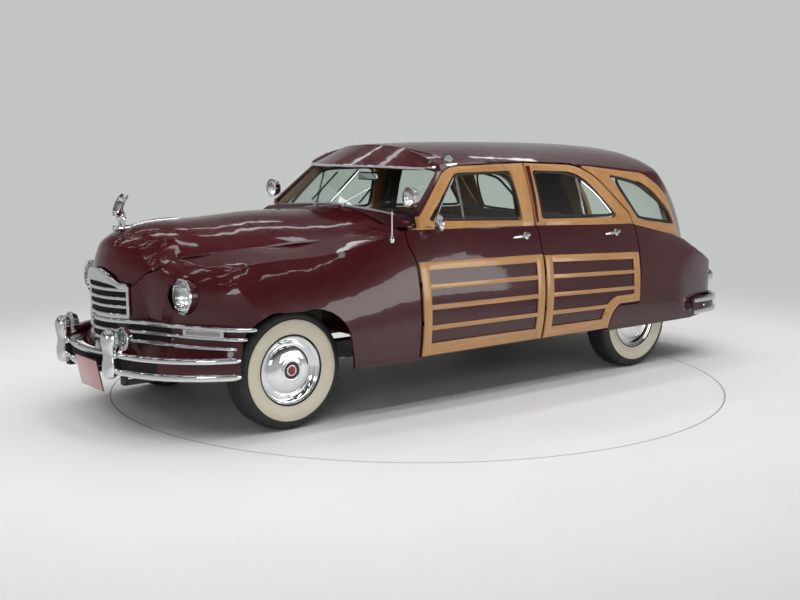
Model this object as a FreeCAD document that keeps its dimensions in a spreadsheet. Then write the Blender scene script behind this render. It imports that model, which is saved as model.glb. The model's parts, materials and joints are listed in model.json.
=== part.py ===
import FreeCAD, Part
import Sketcher
import math
import os
import re

# Late-1940s six-seat station sedan, in millimetres.
# +Z up, nose towards -Y, +X to the car's left; the origin is on the ground at the middle of the car.

V = FreeCAD.Vector
doc = FreeCAD.newDocument("StationSedan")

# ---- driving dimensions --------------------------------------------------------------------------
SIZES = [
    ("wheelbase", 3048), ("front_overhang", 955), ("rear_overhang", 1194),
    ("front_track", 1511), ("rear_track", 1537),
    ("tyre_radius", 358), ("tyre_width", 208), ("rim_radius", 205), ("rim_width", 150),
    ("hub_radius", 62), ("hub_clearance", 1),
    ("body_half_width", 972), ("sill_height", 322), ("roof_height", 1672),
    ("wood_proud", 12), ("door_wall", 60), ("fender_wall", 20), ("quarter_wall", 40),
    ("cabin_wall", 42), ("glass_thickness", 6), ("glass_inset", 18),
    ("panel_gap", 10), ("post_gap", 22), ("seam_gap", 13),
    ("door_front", 905), ("door_split", 1972), ("rear_door_edge", 92), ("door_foot", 338),
    ("hinge_setback", 27), ("hinge_depth", 3), ("pin_radius", 7), ("pin_clearance", 0.3),
    ("hinge_low", 560), ("hinge_high", 800), ("hinge_height", 70),
    ("hood_rear", 842), ("hood_wall", 14), ("hood_gap", 8),
    ("rail_spacing", 780), ("rail_width", 60), ("rail_height", 110), ("rail_bottom", 290),
    ("rear_rail_bottom", 510),
    ("floor_height", 400), ("floor_thickness", 20), ("load_floor_height", 640),
    ("king_pin_offset", 105), ("king_pin_radius", 14),
    ("steering_wheel_radius", 216), ("steering_rim", 13), ("steering_rake", 32), ("steering_side", 380),
    ("headlamp_radius", 105), ("fog_lamp_radius", 62), ("spotlight_radius", 62),
    ("bumper_bar", 34), ("grille_bar", 22), ("grille_half", 258), ("seat_width", 1300),
    ("rear_seat_width", 1180), ("rail_nose", 600), ("rail_step", 430),
    ("headlamp_side", 614), ("headlamp_height", 820), ("fog_lamp_side", 362), ("fog_lamp_height", 569),
    ("spotlight_side", 805), ("spotlight_height", 1337), ("front_seat_station", 1230),
    ("rear_seat_station", 2120),
    ("plate_width", 305), ("plate_height", 192), ("plate_side", 116), ("plate_foot", 254),
    ("plate_hole_spacing", 178), ("plate_hole", 7),
]
sheet = doc.addObject("Spreadsheet::Sheet", "Dims")
for row, (alias, number) in enumerate(SIZES, 1):
    sheet.set("A%d" % row, alias)
    sheet.set("B%d" % row, str(number))
    sheet.setAlias("B%d" % row, alias)
doc.recompute()
NAMES = {alias for alias, number in SIZES}


def size(alias):
    """One driving dimension, as a number."""
    return float(sheet.get(alias))


def bound(text):
    """An expression in which every alias points at the sheet."""
    return re.sub(r"[a-z_]{3,}", lambda m: "Dims." + m.group(0) if m.group(0) in NAMES else m.group(0), text)


# stations are measured from the axles: the nose and the doors from the front one, the tail from the rear one
FRONT = "(front_overhang / 2 - wheelbase / 2 - rear_overhang / 2)"
REAR = "(front_overhang / 2 + wheelbase / 2 - rear_overhang / 2)"
front_axle = (size("front_overhang") - size("wheelbase") - size("rear_overhang")) / 2
rear_axle = front_axle + size("wheelbase")


def ahead(offset):
    """Y of a station given from the front axle."""
    return front_axle + offset


def astern(offset):
    """Y of a station given from the rear axle."""
    return rear_axle + offset


# ---- makers --------------------------------------------------------------------------------------
def box(name, lengths, corner):
    """Part::Box with its three lengths and its low corner bound to the sheet."""
    made = doc.addObject("Part::Box", name)
    for prop, text in zip(("Length", "Width", "Height"), lengths):
        made.setExpression(prop, bound(text))
    for axis, text in zip("xyz", corner):
        made.setExpression("Placement.Base." + axis, bound(text))
    return made


TURNS = {"x": FreeCAD.Rotation(V(0, 1, 0), 90), "y": FreeCAD.Rotation(V(1, 0, 0), -90),
         "z": FreeCAD.Rotation()}


def rod(name, radius, length, start, along="z"):
    """Part::Cylinder that starts at a bound point and runs along +X, +Y or +Z."""
    made = doc.addObject("Part::Cylinder", name)
    made.setExpression("Radius", bound(radius))
    made.setExpression("Height", bound(length))
    made.Placement = FreeCAD.Placement(V(), TURNS[along])
    for axis, text in zip("xyz", start):
        made.setExpression("Placement.Base." + axis, bound(text))
    return made


def feature(name, shape):
    """Part::Feature for a form that no primitive or sketch gives."""
    made = doc.addObject("Part::Feature", name)
    made.Shape = shape
    return made


def fuse(name, parts):
    made = doc.addObject("Part::MultiFuse", name)
    made.Shapes = parts
    return made


def cut(name, base, tool):
    made = doc.addObject("Part::Cut", name)
    made.Base = base
    made.Tool = tool
    return made


subparts = []


def subpart(made, label):
    """Marks an object as a sub-part: its label names its file."""
    made.Label = label
    subparts.append(made)
    return made


def wire_of(steps, place):
    """Closed wire: each step is a point (line to it) or a pair of points (arc through both)."""
    edges = []
    here = steps[0]
    for step in list(steps[1:]) + [steps[0]]:
        if isinstance(step[0], tuple):
            edges.append(Part.Arc(place(*here), place(*step[0]), place(*step[1])).toShape())
            here = step[1]
        elif math.dist(here, step) > 1e-6:
            edges.append(Part.LineSegment(place(*here), place(*step)).toShape())
            here = step
    return Part.Wire(edges)


def side_prism(steps, x_from, x_to):
    """Outline of (Y, Z) steps, run along X."""
    face = Part.Face(wire_of(steps, lambda y, z: V(x_from, y, z)))
    return face.extrude(V(x_to - x_from, 0, 0))


def plan_prism(steps, z_from, z_to):
    """Outline of (X, Y) steps, run along Z."""
    face = Part.Face(wire_of(steps, lambda x, y: V(x, y, z_from)))
    return face.extrude(V(0, 0, z_to - z_from))


def end_prism(steps, y_from, y_to):
    """Outline of (X, Z) steps, run along Y."""
    face = Part.Face(wire_of(steps, lambda x, z: V(x, y_from, z)))
    return face.extrude(V(0, y_to - y_from, 0))


def revolved(name, plane, steps, axis):
    """PartDesign body turned about its sketch's own axis: steps are pairs of expressions and start values."""
    body = doc.addObject("PartDesign::Body", name)
    sketch = body.newObject("Sketcher::SketchObject", name + "_profile")
    origin = [item for item in body.Origin.OriginFeatures if item.Role == plane][0]
    sketch.AttachmentSupport = [(origin, "")]
    sketch.MapMode = "FlatFace"
    starts = []
    for across, up in steps:
        starts.append((number_of(across), number_of(up)))
    for k, start in enumerate(starts):
        stop = starts[(k + 1) % len(starts)]
        sketch.addGeometry(Part.LineSegment(V(start[0], start[1], 0), V(stop[0], stop[1], 0)))
    for k, (across, up) in enumerate(steps):
        sketch.addConstraint(Sketcher.Constraint("Coincident", k, 2, (k + 1) % len(steps), 1))
        first = sketch.addConstraint(Sketcher.Constraint("DistanceX", -1, 1, k, 1, starts[k][0]))
        sketch.setExpression("Constraints[%d]" % first, bound(across))
        second = sketch.addConstraint(Sketcher.Constraint("DistanceY", -1, 1, k, 1, starts[k][1]))
        sketch.setExpression("Constraints[%d]" % second, bound(up))
    doc.recompute()
    turn = body.newObject("PartDesign::Revolution", name + "_turn")
    turn.Profile = sketch
    turn.ReferenceAxis = (sketch, [axis])
    turn.Angle = 360
    return body


def number_of(text):
    """Value of an expression now, for a sketch's first solution."""
    known = {alias: size(alias) for alias in NAMES}
    tokens = re.findall(r"[a-z_]{3,}", text)
    for token in tokens:
        text = re.sub(r"\b%s\b" % token, repr(known[token]), text)
    return float(FreeCAD.Units.Quantity(text).Value)


# ---- body forms ----------------------------------------------------------------------------------
# Rows run from nose to tail: Y, half-width and height at the sill, at the widest line and at the
# shoulder, height of the middle, and the thickness of the wall behind the skin.
wide = size("body_half_width")
sill = size("sill_height")
door_wall = size("door_wall")
fender_wall = size("fender_wall")
quarter_wall = size("quarter_wall")
SIDE_ROWS = [
    (ahead(-860), wide - 72, sill + 78, wide - 22, 600, wide - 212, 900, 985, fender_wall),
    (ahead(-580), wide - 60, sill + 58, wide - 14, 600, wide - 192, 952, 1042, fender_wall),
    (ahead(-300), wide - 47, sill + 38, wide - 7, 600, wide - 172, 985, 1078, fender_wall),
    (ahead(50), wide - 44, sill + 18, wide - 3, 600, wide - 157, 1007, 1100, fender_wall),
    (ahead(400), wide - 42, sill + 8, wide, 600, wide - 137, 1037, 1118, fender_wall),
    (ahead(880), wide - 42, sill, wide, 600, wide - 92, 1132, 1195, door_wall),
    (ahead(1450), wide - 42, sill, wide, 600, wide - 89, 1120, 1130, door_wall),
    (ahead(2000), wide - 42, sill, wide, 600, wide - 87, 1105, 1115, door_wall),
    (ahead(2956), wide - 42, sill, wide - 2, 600, wide - 92, 1072, 1080, door_wall),
    (astern(402), wide - 47, sill, wide - 7, 580, wide - 132, 965, 975, quarter_wall),
    (astern(802), wide - 52, sill + 10, wide - 17, 560, wide - 192, 815, 825, quarter_wall),
    (astern(1202), wide - 72, sill + 40, wide - 42, 500, wide - 232, 610, 620, quarter_wall),
]
OPEN_BELOW = 150


def circle_through(p, q, r):
    """Centre and radius of the circle through three (x, z) points."""
    middle = Part.Arc(V(p[0], 0, p[1]), V(q[0], 0, q[1]), V(r[0], 0, r[1])).toShape().Curve
    return middle.Center.x, middle.Center.z, middle.Radius


def side_form(grow=0.0, inner=False):
    """Lower body from nose to tail, grown outwards, or its hollow inside the wall."""
    sections = []
    for y, low_half, low, half, middle, top_half, top, crown, wall in SIDE_ROWS:
        offset = -wall if inner else grow
        cx, cz, radius = circle_through((low_half, low), (half, middle), (top_half, top))
        radius = radius + offset
        top_end = top + offset
        points = []
        for z in (low, (low + top_end) / 2, top_end):
            points.append((cx + math.sqrt(radius ** 2 - (z - cz) ** 2), z))
        foot = (points[0][0], low - (OPEN_BELOW if inner else 1))
        steps = [(-foot[0], foot[1]), foot, points[0], (points[1], points[2]),
                 ((0, crown + offset), (-points[2][0], points[2][1])),
                 ((-points[1][0], points[1][1]), (-points[0][0], points[0][1]))]
        sections.append(wire_of(steps, lambda x, z: V(x, y, z)))
    return Part.makeLoft(sections, True, False, False, 3)


# Rows that round the nose over: height, and how far it falls back at the middle, beside the grille,
# over the headlamps, at the corners and on the flanks.
NOSE_ROWS = [(0, 0, 0, 0, 0, 0), (500, 0, 0, 0, 0, 0), (780, 0, 0, 0, 0, 0), (840, 0, 0, 2, 8, 4),
             (890, 0, 4, 14, 34, 14),
             (935, 2, 12, 38, 76, 34), (975, 6, 30, 82, 130, 60), (1015, 16, 62, 145, 195, 95),
             (1060, 30, 104, 225, 265, 140), (1120, 62, 170, 330, 360, 210), (1190, 150, 280, 450, 480, 320),
             (1260, 260, 400, 600, 620, 450), (1500, 560, 700, 800, 800, 700)]


def side_plan(offset):
    """Plan outlines that round the nose, over its top too, and the tail of the lower body."""
    tail = astern(1042) + offset
    edge = wide + 60 + offset
    outlines = []
    for z, middle, beside, lamp, corner, flank in NOSE_ROWS:
        nose = ahead(-790) - offset + middle
        inner = ahead(-665) - offset + beside
        over = ahead(-585) - offset + lamp
        cheek = ahead(-440) - offset + corner
        side = ahead(-260) - offset * 0.7 + flank
        start = ahead(flank)
        steps = [
            (-edge, start),
            ((-(wide - 22 + offset), side), (-(wide - 132 + offset * 0.7), cheek)),
            ((-(wide - 352), over), (-330, inner)),
            ((0, nose), (330, inner)),
            ((wide - 352, over), (wide - 132 + offset * 0.7, cheek)),
            ((wide - 22 + offset, side), (edge, start)),
            (edge, astern(0)),
            ((wide - 47 + offset, astern(502)), (wide - 172 + offset * 0.7, astern(800) + offset * 0.7)),
            ((0, tail), (-(wide - 172 + offset * 0.7), astern(800) + offset * 0.7)),
            ((-(wide - 47 + offset), astern(502)), (-edge, astern(0))),
        ]
        outlines.append(wire_of(steps, lambda x, y: V(x, y, z)))
    return Part.makeLoft(outlines, True, False, False, 3)


# Rows of the cabin above the belt: Y, half-width and height of the belt, the same at the roof rail,
# and the height of the roof's middle.
roof_top = size("roof_height")
cabin_wall = size("cabin_wall")
CABIN_ROWS = [
    (ahead(600), wide - 107, 1140, wide - 252, 1500, roof_top - 70),
    (ahead(1200), wide - 104, 1135, wide - 247, 1530, roof_top - 17),
    (ahead(1750), wide - 102, 1115, wide - 242, 1545, roof_top),
    (ahead(2400), wide - 102, 1095, wide - 242, 1525, roof_top - 5),
    (astern(-48), wide - 104, 1070, wide - 247, 1475, roof_top - 22),
    (astern(552), wide - 104, 1000, wide - 272, 1400, roof_top - 72),
    (astern(1252), wide - 104, 900, wide - 312, 1300, roof_top - 122),
]
CABIN_FLOOR = 450
# Rows of the tail from below upwards: height, and Y of the tail's middle.
TAIL_ROWS = [(440, 1050), (855, 1034), (1156, 922), (1330, 800), (1453, 668), (1530, 548), (1610, 380),
             (1760, -50)]
TAIL_SWEEP = 205
TAIL_HALF = 620


def cabin_form(grow=0.0):
    """Cabin above the belt, with its roof and its rounded tail; grow is negative for a hollow."""
    sections = []
    for y, belt_half, belt, rail_half, rail, crown in CABIN_ROWS:
        bottom = (belt_half + grow, CABIN_FLOOR)
        low = (belt_half + grow, belt)
        bulge = ((belt_half + rail_half) / 2 + 14 + grow, (belt + rail) / 2)
        high = (rail_half + grow, rail + grow * 0.3)
        steps = [(-bottom[0], bottom[1]), bottom, low, (bulge, high),
                 ((0, crown + grow), (-high[0], high[1])),
                 ((-bulge[0], bulge[1]), (-low[0], low[1]))]
        sections.append(wire_of(steps, lambda x, z: V(x, y, z)))
    body = Part.makeLoft(sections, True, False, False, 3)
    layers = []
    for z, tail in TAIL_ROWS:
        rear = astern(tail) + grow
        corner = (TAIL_HALF + grow * 0.5, rear - TAIL_SWEEP)
        flank = (wide - 100 + grow, rear - TAIL_SWEEP - 720)
        hip = (wide - 152 + grow * 0.8, rear - TAIL_SWEEP - 330)
        front = ahead(500)
        steps = [(-flank[0] - 90, front), (flank[0] + 90, front), (flank[0] + 90, flank[1] - 300), flank,
                 (hip, corner), ((0, rear), (-corner[0], corner[1])),
                 ((-hip[0], hip[1]), (-flank[0], flank[1])), (-flank[0] - 90, flank[1] - 300)]
        layers.append(wire_of(steps, lambda x, y: V(x, y, z)))
    tail = Part.makeLoft(layers, True, False, False, 3)
    return body.common(tail)


# Rows of the hood: Y, half-width and height of its edge, and height of its crest.
HOOD_ROWS = [
    (ahead(-830), 262, 852, 985), (ahead(-700), 335, 888, 1128), (ahead(-630), 408, 968, 1160),
    (ahead(-560), 448, 1010, 1185), (ahead(-280), 508, 1044, 1210), (ahead(60), 532, 1066, 1226),
    (ahead(400), 572, 1084, 1240), (ahead(880), 620, 1172, 1258),
]
HOOD_LIP = 12


def hood_form(grow=0.0, lip=HOOD_LIP):
    """Hood from the prow to the windshield, down to its lip."""
    sections = []
    for y, half, edge, crest in HOOD_ROWS:
        right = (half + grow, edge)
        low = (half + grow, edge - lip)
        steps = [(-low[0], low[1]), low, right, ((0, crest + grow), (-right[0], right[1]))]
        sections.append(wire_of(steps, lambda x, z: V(x, y, z)))
    return Part.makeLoft(sections, True, False, False, 3)


# ---- body shell ----------------------------------------------------------------------------------
door_front = size("door_front")
door_split = size("door_split")
gap = size("panel_gap")
seam = size("seam_gap")
post = size("post_gap")
proud = size("wood_proud")
glass_inset = size("glass_inset")
glass_thickness = size("glass_thickness")
hood_rear = size("hood_rear")
hood_gap = size("hood_gap")
hood_wall = size("hood_wall")
outer_side = side_form().common(side_plan(0))
inner_side = side_form(inner=True).common(side_plan(-fender_wall))
GLASS_SWEEP = 96
GLASS_HALF = 700


def glass_prism(steps):
    """Outline of (Y, Z) steps run along the two swept-back halves of the windshield."""
    face = Part.Face(wire_of(steps, lambda y, z: V(0, y, z)))
    reach = 1.5
    halves = [face.extrude(V(hand * GLASS_HALF * reach, GLASS_SWEEP * reach, 0)) for hand in (1, -1)]
    return halves[0].fuse(halves[1]).removeSplitter()


ahead_of_glass = glass_prism([(ahead(200), 300), (ahead(848), 300), (ahead(848), 1257), (ahead(862), 1257),
                              (ahead(1128), 1490), ((ahead(1146), 1565), (ahead(1215), 1640)),
                              (ahead(1320), 1900), (ahead(200), 1900)])
header_block = Part.makeBox(2400, 800, 400, V(-1200, ahead(1205) - 800, 1492))
outer_cabin = cabin_form().cut(ahead_of_glass)
nose_block = Part.makeBox(2400, 2000, 2400, V(-1200, ahead(hood_rear) - 2000, 0))
inner_cabin = cabin_form(-cabin_wall).cut(header_block.fuse(nose_block))
shell = outer_side.fuse(outer_cabin).cut(inner_side.fuse(inner_cabin))

# Belt: the line between painted metal and wood, a reveal above the shoulder of the side.
REVEAL = 6
BELT = [(row[0], row[6] + REVEAL) for row in SIDE_ROWS]


def belt(y):
    """Height of the belt at a station."""
    for (y0, z0), (y1, z1) in zip(BELT, BELT[1:]):
        if y0 <= y <= y1:
            return z0 + (z1 - z0) * (y - y0) / (y1 - y0)
    return BELT[-1][1]


def along_belt(y_from, y_to):
    """Points of the belt between two stations, ends included."""
    inside = [point for point in BELT if min(y_from, y_to) < point[0] < max(y_from, y_to)]
    if y_to < y_from:
        inside.reverse()
    return [(y_from, belt(y_from))] + inside + [(y_to, belt(y_to))]


def lifted(points, rise):
    """The same points, higher."""
    return [(y, z + rise) for y, z in points]


door_foot = size("door_foot")
split = ahead(door_split)


def front_door_metal(grow=0.0):
    return ([(ahead(door_front) - grow, door_foot - grow), (ahead(door_front - 33) - grow, 950),
             (ahead(door_front - 73) - grow, 1060)]
            + lifted(along_belt(ahead(door_front - 69) - grow, split - gap / 2 + grow), grow)
            + [(split - gap / 2 + grow, door_foot - grow)])


def rear_door_metal(grow=0.0):
    rear = astern(-size("rear_door_edge"))
    return ([(split + gap / 2 - grow, door_foot - grow)]
            + lifted(along_belt(split + gap / 2 - grow, rear + 26 + grow), grow)
            + [(rear + grow, 508 - grow), (astern(-308), 508 - grow),
               ((astern(-368) + grow, 450 - grow), (astern(-393) + grow, door_foot - grow))])


def front_door_frame(grow=0.0):
    return (along_belt(split - post / 2 + grow, ahead(892) - grow)
            + [(ahead(1200) - grow * 0.7, 1447 + grow * 0.7),
               ((ahead(1270), 1497 + grow), (ahead(1367), 1520 + grow)),
               (split - post / 2 + grow, 1531 + grow)])


def rear_door_frame(grow=0.0):
    slant = grow * 0.8
    edge = astern(-size("rear_door_edge")) + 26 + grow
    return (along_belt(edge, split + post / 2 - grow)
            + [(split + post / 2 - grow, 1531 + grow), (ahead(2400), 1512 + grow),
               ((ahead(2600) + slant, 1455 + slant), (ahead(2729) + slant, 1363 + slant)),
               (ahead(2951) + slant, 1150 + slant)])


QUARTER_REAR = [(astern(145), 1440), ((astern(285), 1378), (astern(380), 1292)), (astern(639), 885)]


def quarter_frame():
    start = ahead(2560)
    low = astern(639)
    return ([(start, 1502)] + QUARTER_REAR + along_belt(low, ahead(2500)))


FRONT_WINDOW = [(ahead(1052), 1206), (ahead(1300), 1448), ((ahead(1335), 1472), (ahead(1375), 1479)),
                (ahead(1806), 1482), ((ahead(1830), 1473), (ahead(1838), 1448)), (ahead(1862), 1176),
                ((ahead(1857), 1158), (ahead(1838), 1152)), (ahead(1080), 1182),
                ((ahead(1052), 1186), (ahead(1044), 1196))]
REAR_WINDOW = [(ahead(2044), 1176), (ahead(2040), 1456), ((ahead(2047), 1473), (ahead(2065), 1480)),
               (ahead(2380), 1466), ((ahead(2530), 1420), (ahead(2637), 1334)), (ahead(2805), 1160),
               ((ahead(2812), 1138), (ahead(2795), 1128)), (ahead(2066), 1152),
               ((ahead(2050), 1160), (ahead(2044), 1175))]
QUARTER_WINDOW = [(ahead(2860), 1432), (astern(110), 1374), ((astern(235), 1312), (astern(325), 1228)),
                  (astern(480), 1062), ((astern(474), 1046), (astern(455), 1044)), (astern(25), 1096),
                  ((astern(8), 1100), (astern(-2), 1112)), (ahead(2838), 1408),
                  ((ahead(2841), 1426), (ahead(2859), 1432))]
INSIDE = 500
DOOR_INSIDE = 780
OUTSIDE = 1150


def left(steps):
    """Prism through the left-hand wall."""
    return side_prism(steps, INSIDE, OUTSIDE)


above_belt = side_prism([(BELT[0][0], 2000)] + BELT + [(BELT[-1][0], 2000)], -OUTSIDE, OUTSIDE)
openings_left = left(front_door_frame(gap)).fuse(left(rear_door_frame(seam)))
for outline in (front_door_metal(gap), rear_door_metal(gap)):
    openings_left = openings_left.fuse(side_prism(outline, DOOR_INSIDE - 3 * gap, OUTSIDE))
openings = openings_left.fuse(openings_left.mirror(V(), V(1, 0, 0)))

# Tailgate opening in the rear wall: half-width, and its heights.
GATE_HALF = 520
GATE_FOOT = 520
GATE_SPLIT = 930
GATE_TOP = 1430


def gate_prism(low, high, grow=0.0):
    """Prism through the rear wall; its upper corners are rounded where it reaches the top of the opening."""
    side = GATE_HALF + grow
    if high < GATE_TOP:
        return end_prism([(-side, low - grow), (side, low - grow), (side, high + grow), (-side, high + grow)],
                         astern(350), astern(1400))
    steps = [(-side, low - grow), (side, low - grow), (side, high - 140),
             ((side - 40, high - 35), (side - 150, high + grow)),
             (-side + 150, high + grow), ((-side + 40, high - 35), (-side, high - 140))]
    return end_prism(steps, astern(350), astern(1400))


whole_gate = gate_prism(GATE_FOOT, GATE_TOP, gap)
slab_span = 2600  # more than the car's half length, for tools that cut right through it


def slab(low, high):
    """Everything between two stations."""
    return Part.makeBox(2 * slab_span, high - low, 2 * slab_span, V(-slab_span, low, -slab_span))


def both(shape):
    """A shape with its right-hand copy."""
    return shape.fuse(shape.mirror(V(), V(1, 0, 0)))


def largest(shape, count=1):
    """The few solids of a cut that are more than chips."""
    solids = sorted(shape.Solids, key=lambda solid: solid.Volume, reverse=True)[:count]
    return solids[0] if count == 1 else Part.makeCompound(solids)


def block(x_range, y_range, z_range):
    """Box between two corners, for the pieces whose neighbours are sculpted."""
    (x0, x1), (y0, y1), (z0, z1) = x_range, y_range, z_range
    return Part.makeBox(x1 - x0, y1 - y0, z1 - z0, V(x0, y0, z0))


# ---- hinges of the doors -------------------------------------------------------------------------
def skin_at(y, z):
    """Half-width of the lower body's outer skin at a station and a height."""
    for first, second in zip(SIDE_ROWS, SIDE_ROWS[1:]):
        if first[0] <= y <= second[0]:
            part = (y - first[0]) / (second[0] - first[0])
            low_half, low, half, middle, top_half, top = [a + (b - a) * part for a,
                                                          b in zip(first[1:7], second[1:7])]
            cx, cz, radius = circle_through((low_half, low), (half, middle), (top_half, top))
            return cx + math.sqrt(radius ** 2 - (z - cz) ** 2)
    return wide


hinge_low = size("hinge_low")
hinge_high = size("hinge_high")
hinge_depth = size("hinge_depth")
hinge_height = size("hinge_height")
pin_radius = size("pin_radius")
pin_clearance = size("pin_clearance")
LEAF_HALF = 12
LEAF_ROOM = 3


def hinge_points(edge):
    """Lower and upper hinge of a door whose front edge is at this station."""
    y = edge + size("hinge_setback")
    return [V(skin_at(y, z) - hinge_depth, y, z) for z in (hinge_low, hinge_high)]


DOORS = {"front": ahead(door_front), "rear": split + gap / 2}


def hinge_tools(edge):
    """Pins with their leaves, and the room that a door leaves for them."""
    low, high = hinge_points(edge)
    along = (high - low).normalize()
    metal = []
    room = []
    for point in (low, high):
        half = hinge_height / 2
        pin = Part.makeCylinder(pin_radius, hinge_height, point - along * half, along)
        bore = Part.makeCylinder(pin_radius + pin_clearance, hinge_height + 2, point - along * (half + 1),
                                 along)
        leaf = block((point.x - 130, point.x), (point.y - 6, point.y + 6),
                     (point.z - LEAF_HALF, point.z + LEAF_HALF))
        reach = size("hinge_setback")
        notch = block((point.x - 150, point.x + pin_radius + 1.5),
                      (point.y - reach - 70, point.y + pin_radius + 3),
                      (point.z - LEAF_HALF - LEAF_ROOM, point.z + LEAF_HALF + LEAF_ROOM))
        metal.append(pin.fuse(leaf))
        room.append(bore.fuse(notch))
    return metal, room[0].fuse(room[1])


# ---- doors ---------------------------------------------------------------------------------------
def between(top, bottom, share):
    """Point between two (Y, Z) points."""
    return (top[0] + (bottom[0] - top[0]) * share, top[1] + (bottom[1] - top[1]) * share)


# Ladder trim: where its openings start and stop on the way down, and how wide its stiles are.
LADDER_ROWS = [(0.085, 0.235), (0.285, 0.455), (0.505, 0.675), (0.725, 0.87)]
STILE = 62


def ladder(outline, corners, band=None):
    """Wood trim on a door's outside: an outline less the openings between its slats, but for a band."""
    top_front, top_rear, low_rear, low_front = corners
    region = left(outline)
    layer = side_form(proud).common(region).cut(side_form(pin_clearance).common(region))
    for start, stop in LADDER_ROWS:
        steps = [between(top_front, low_front, start), between(top_rear, low_rear, start),
                 between(top_rear, low_rear, stop), between(top_front, low_front, stop)]
        steps = [(steps[0][0] + STILE, steps[0][1]), (steps[1][0] - STILE, steps[1][1]),
                 (steps[2][0] - STILE, steps[2][1]), (steps[3][0] + STILE, steps[3][1])]
        opening = left(steps)
        if band:
            opening = opening.cut(left(band))
        layer = layer.cut(opening)
    return layer


front_corners = [(ahead(883), 940), (split - 12, 922), (split - 12, 346), (ahead(912), 346)]
rear_corners = [(split + 12, 914), (astern(-100), 876), (astern(-100), 346), (split + 12, 346)]
rear_trim = [rear_corners[0], rear_corners[1], (astern(-98), 518), (astern(-312), 518),
             ((astern(-376), 458), (astern(-403), 346)), rear_corners[3]]
rear_band = [(astern(-60), 575), (astern(-300), 575), ((astern(-425), 535), (astern(-462), 346)),
             (astern(-465), 300),
             (astern(-60), 300)]
trims = {"front": ladder(front_corners, front_corners), "rear": ladder(rear_trim, rear_corners, rear_band)}
frames = {"front": (front_door_metal, front_door_frame, FRONT_WINDOW),
          "rear": (rear_door_metal, rear_door_frame, REAR_WINDOW)}
glass_layer = cabin_form(-glass_inset).cut(cabin_form(-glass_inset - glass_thickness))
hinge_metal = []
for which, edge in DOORS.items():
    metal_outline, frame_outline, window = frames[which]
    pins, room = hinge_tools(edge)
    hinge_metal += pins
    trim = trims[which].cut(room)
    metal = shell.common(side_prism(metal_outline(), DOOR_INSIDE, OUTSIDE)).cut(above_belt).cut(room)
    frame = shell.common(left(frame_outline())).common(above_belt).cut(left(window))
    pane = glass_layer.common(left(window))
    for side, hand in (("left", 1), ("right", -1)):
        for piece, shape in (("door", metal), ("door_wood", Part.makeCompound([frame, largest(trim)])),
                             ("door_glass", pane)):
            if hand < 0:
                shape = shape.mirror(V(), V(1, 0, 0))
            name = "%s_%s_%s" % (which, piece, side)
            subpart(feature(name, shape), name)

# ---- hood, cut away at the prow for the arched top of the grille ---------------------------------
def grille_arch(grow):
    """Outline of the upper grille, grown outwards."""
    side = size("grille_half") + grow
    shoulder = side - 46
    flare = side - 118
    steps = [(-side, 680 - grow), (side, 680 - grow), (side, 866 + grow), (shoulder, 862 + grow),
             ((shoulder - 40, 877 + grow), (flare, 905 + grow)), ((0, 944 + grow), (-flare, 905 + grow)),
             ((-shoulder + 40, 877 + grow), (-shoulder, 862 + grow)), (-side, 866 + grow)]
    return end_prism(steps, ahead(-1200), ahead(-600))


def slab_between(low, high):
    """Everything between two heights."""
    return Part.makeBox(2 * slab_span, 2 * slab_span, high - low,
                        V(-slab_span, -2 * slab_span + ahead(0), low))


hood_solid = hood_form().common(side_plan(0))
hood_hollow = hood_form(-hood_wall, 200).common(side_plan(-hood_wall))
hood = hood_solid.cut(hood_hollow).common(slab(ahead(-900), ahead(hood_rear))).cut(grille_arch(hood_gap))
hood = largest(hood)
subpart(feature("hood", hood), "hood")
way_up = []
for y, half, edge, crest in HOOD_ROWS:
    side = half + hood_gap
    foot = edge - HOOD_LIP - hood_gap
    way_up.append(wire_of([(-side, foot), (side, foot), (side, edge), (side, 1500), (-side, 1500),
                           (-side, edge)],
                          lambda x, z: V(x, y, z)))
hood_hole = Part.makeLoft(way_up, True, False, False, 3).common(slab(ahead(-1200), ahead(hood_rear + 10)))

# ---- fixed body ----------------------------------------------------------------------------------
body_below = shell.cut(above_belt).cut(openings).cut(whole_gate)
body_above = shell.common(above_belt).cut(openings).cut(whole_gate)
frame_left = left(quarter_frame())
quarter_wood = both(shell.common(frame_left).cut(left(rear_door_frame(seam))).cut(left(QUARTER_WINDOW)))
# wheel arch of the front fenders
reach = size("tyre_radius")
ARCH = [(ahead(-reach - 42), 100), (ahead(-reach + 6), 2 * reach - 141),
        ((ahead(-reach + 88), 2 * reach - 26), (ahead(-110), 2 * reach + 6)), (ahead(30), 2 * reach + 2),
        ((ahead(reach - 118), 2 * reach - 36), (ahead(reach - 18), 2 * reach - 156)),
        (ahead(reach + 46), sill - 2), (ahead(reach + 46), 100)]
arches = both(left(ARCH))
behind_cowl = slab(ahead(861), ahead(910)).cut(block((-700, 700), (ahead(800), ahead(960)), (0, 2000)))
front_zone = slab(ahead(-1200), ahead(861.7)).fuse(behind_cowl)
lamp_room = both(Part.makeCylinder(size("headlamp_radius") + pin_clearance, 400,
                                   V(size("headlamp_side"), ahead(-720), size("headlamp_height")),
                                   V(0, 1, 0)))
behind_bumper = block((-1100, 1100), (ahead(-1200), ahead(-375)), (0, 412))
fenders = shell.cut(openings).common(front_zone).cut(hood_hole).cut(arches).cut(lamp_room).cut(behind_bumper)
fenders = largest(fenders)
subpart(feature("front_fenders", fenders), "front_fenders")
# skirts over the rear wheels lift off: each fills the mouth of its wheel arch, behind the door's notch
rest_below = body_below.cut(slab(ahead(-1200), ahead(1500)))
SKIRT_SEAM = 0.8


def skirt_zone(seam_width):
    return left([(astern(-440), 100), (astern(-440), 486 - seam_width), (astern(310), 478 - seam_width),
                 ((astern(366) - seam_width, 450), (astern(384) - seam_width, 300)),
                 (astern(384) - seam_width, 100)])


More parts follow.
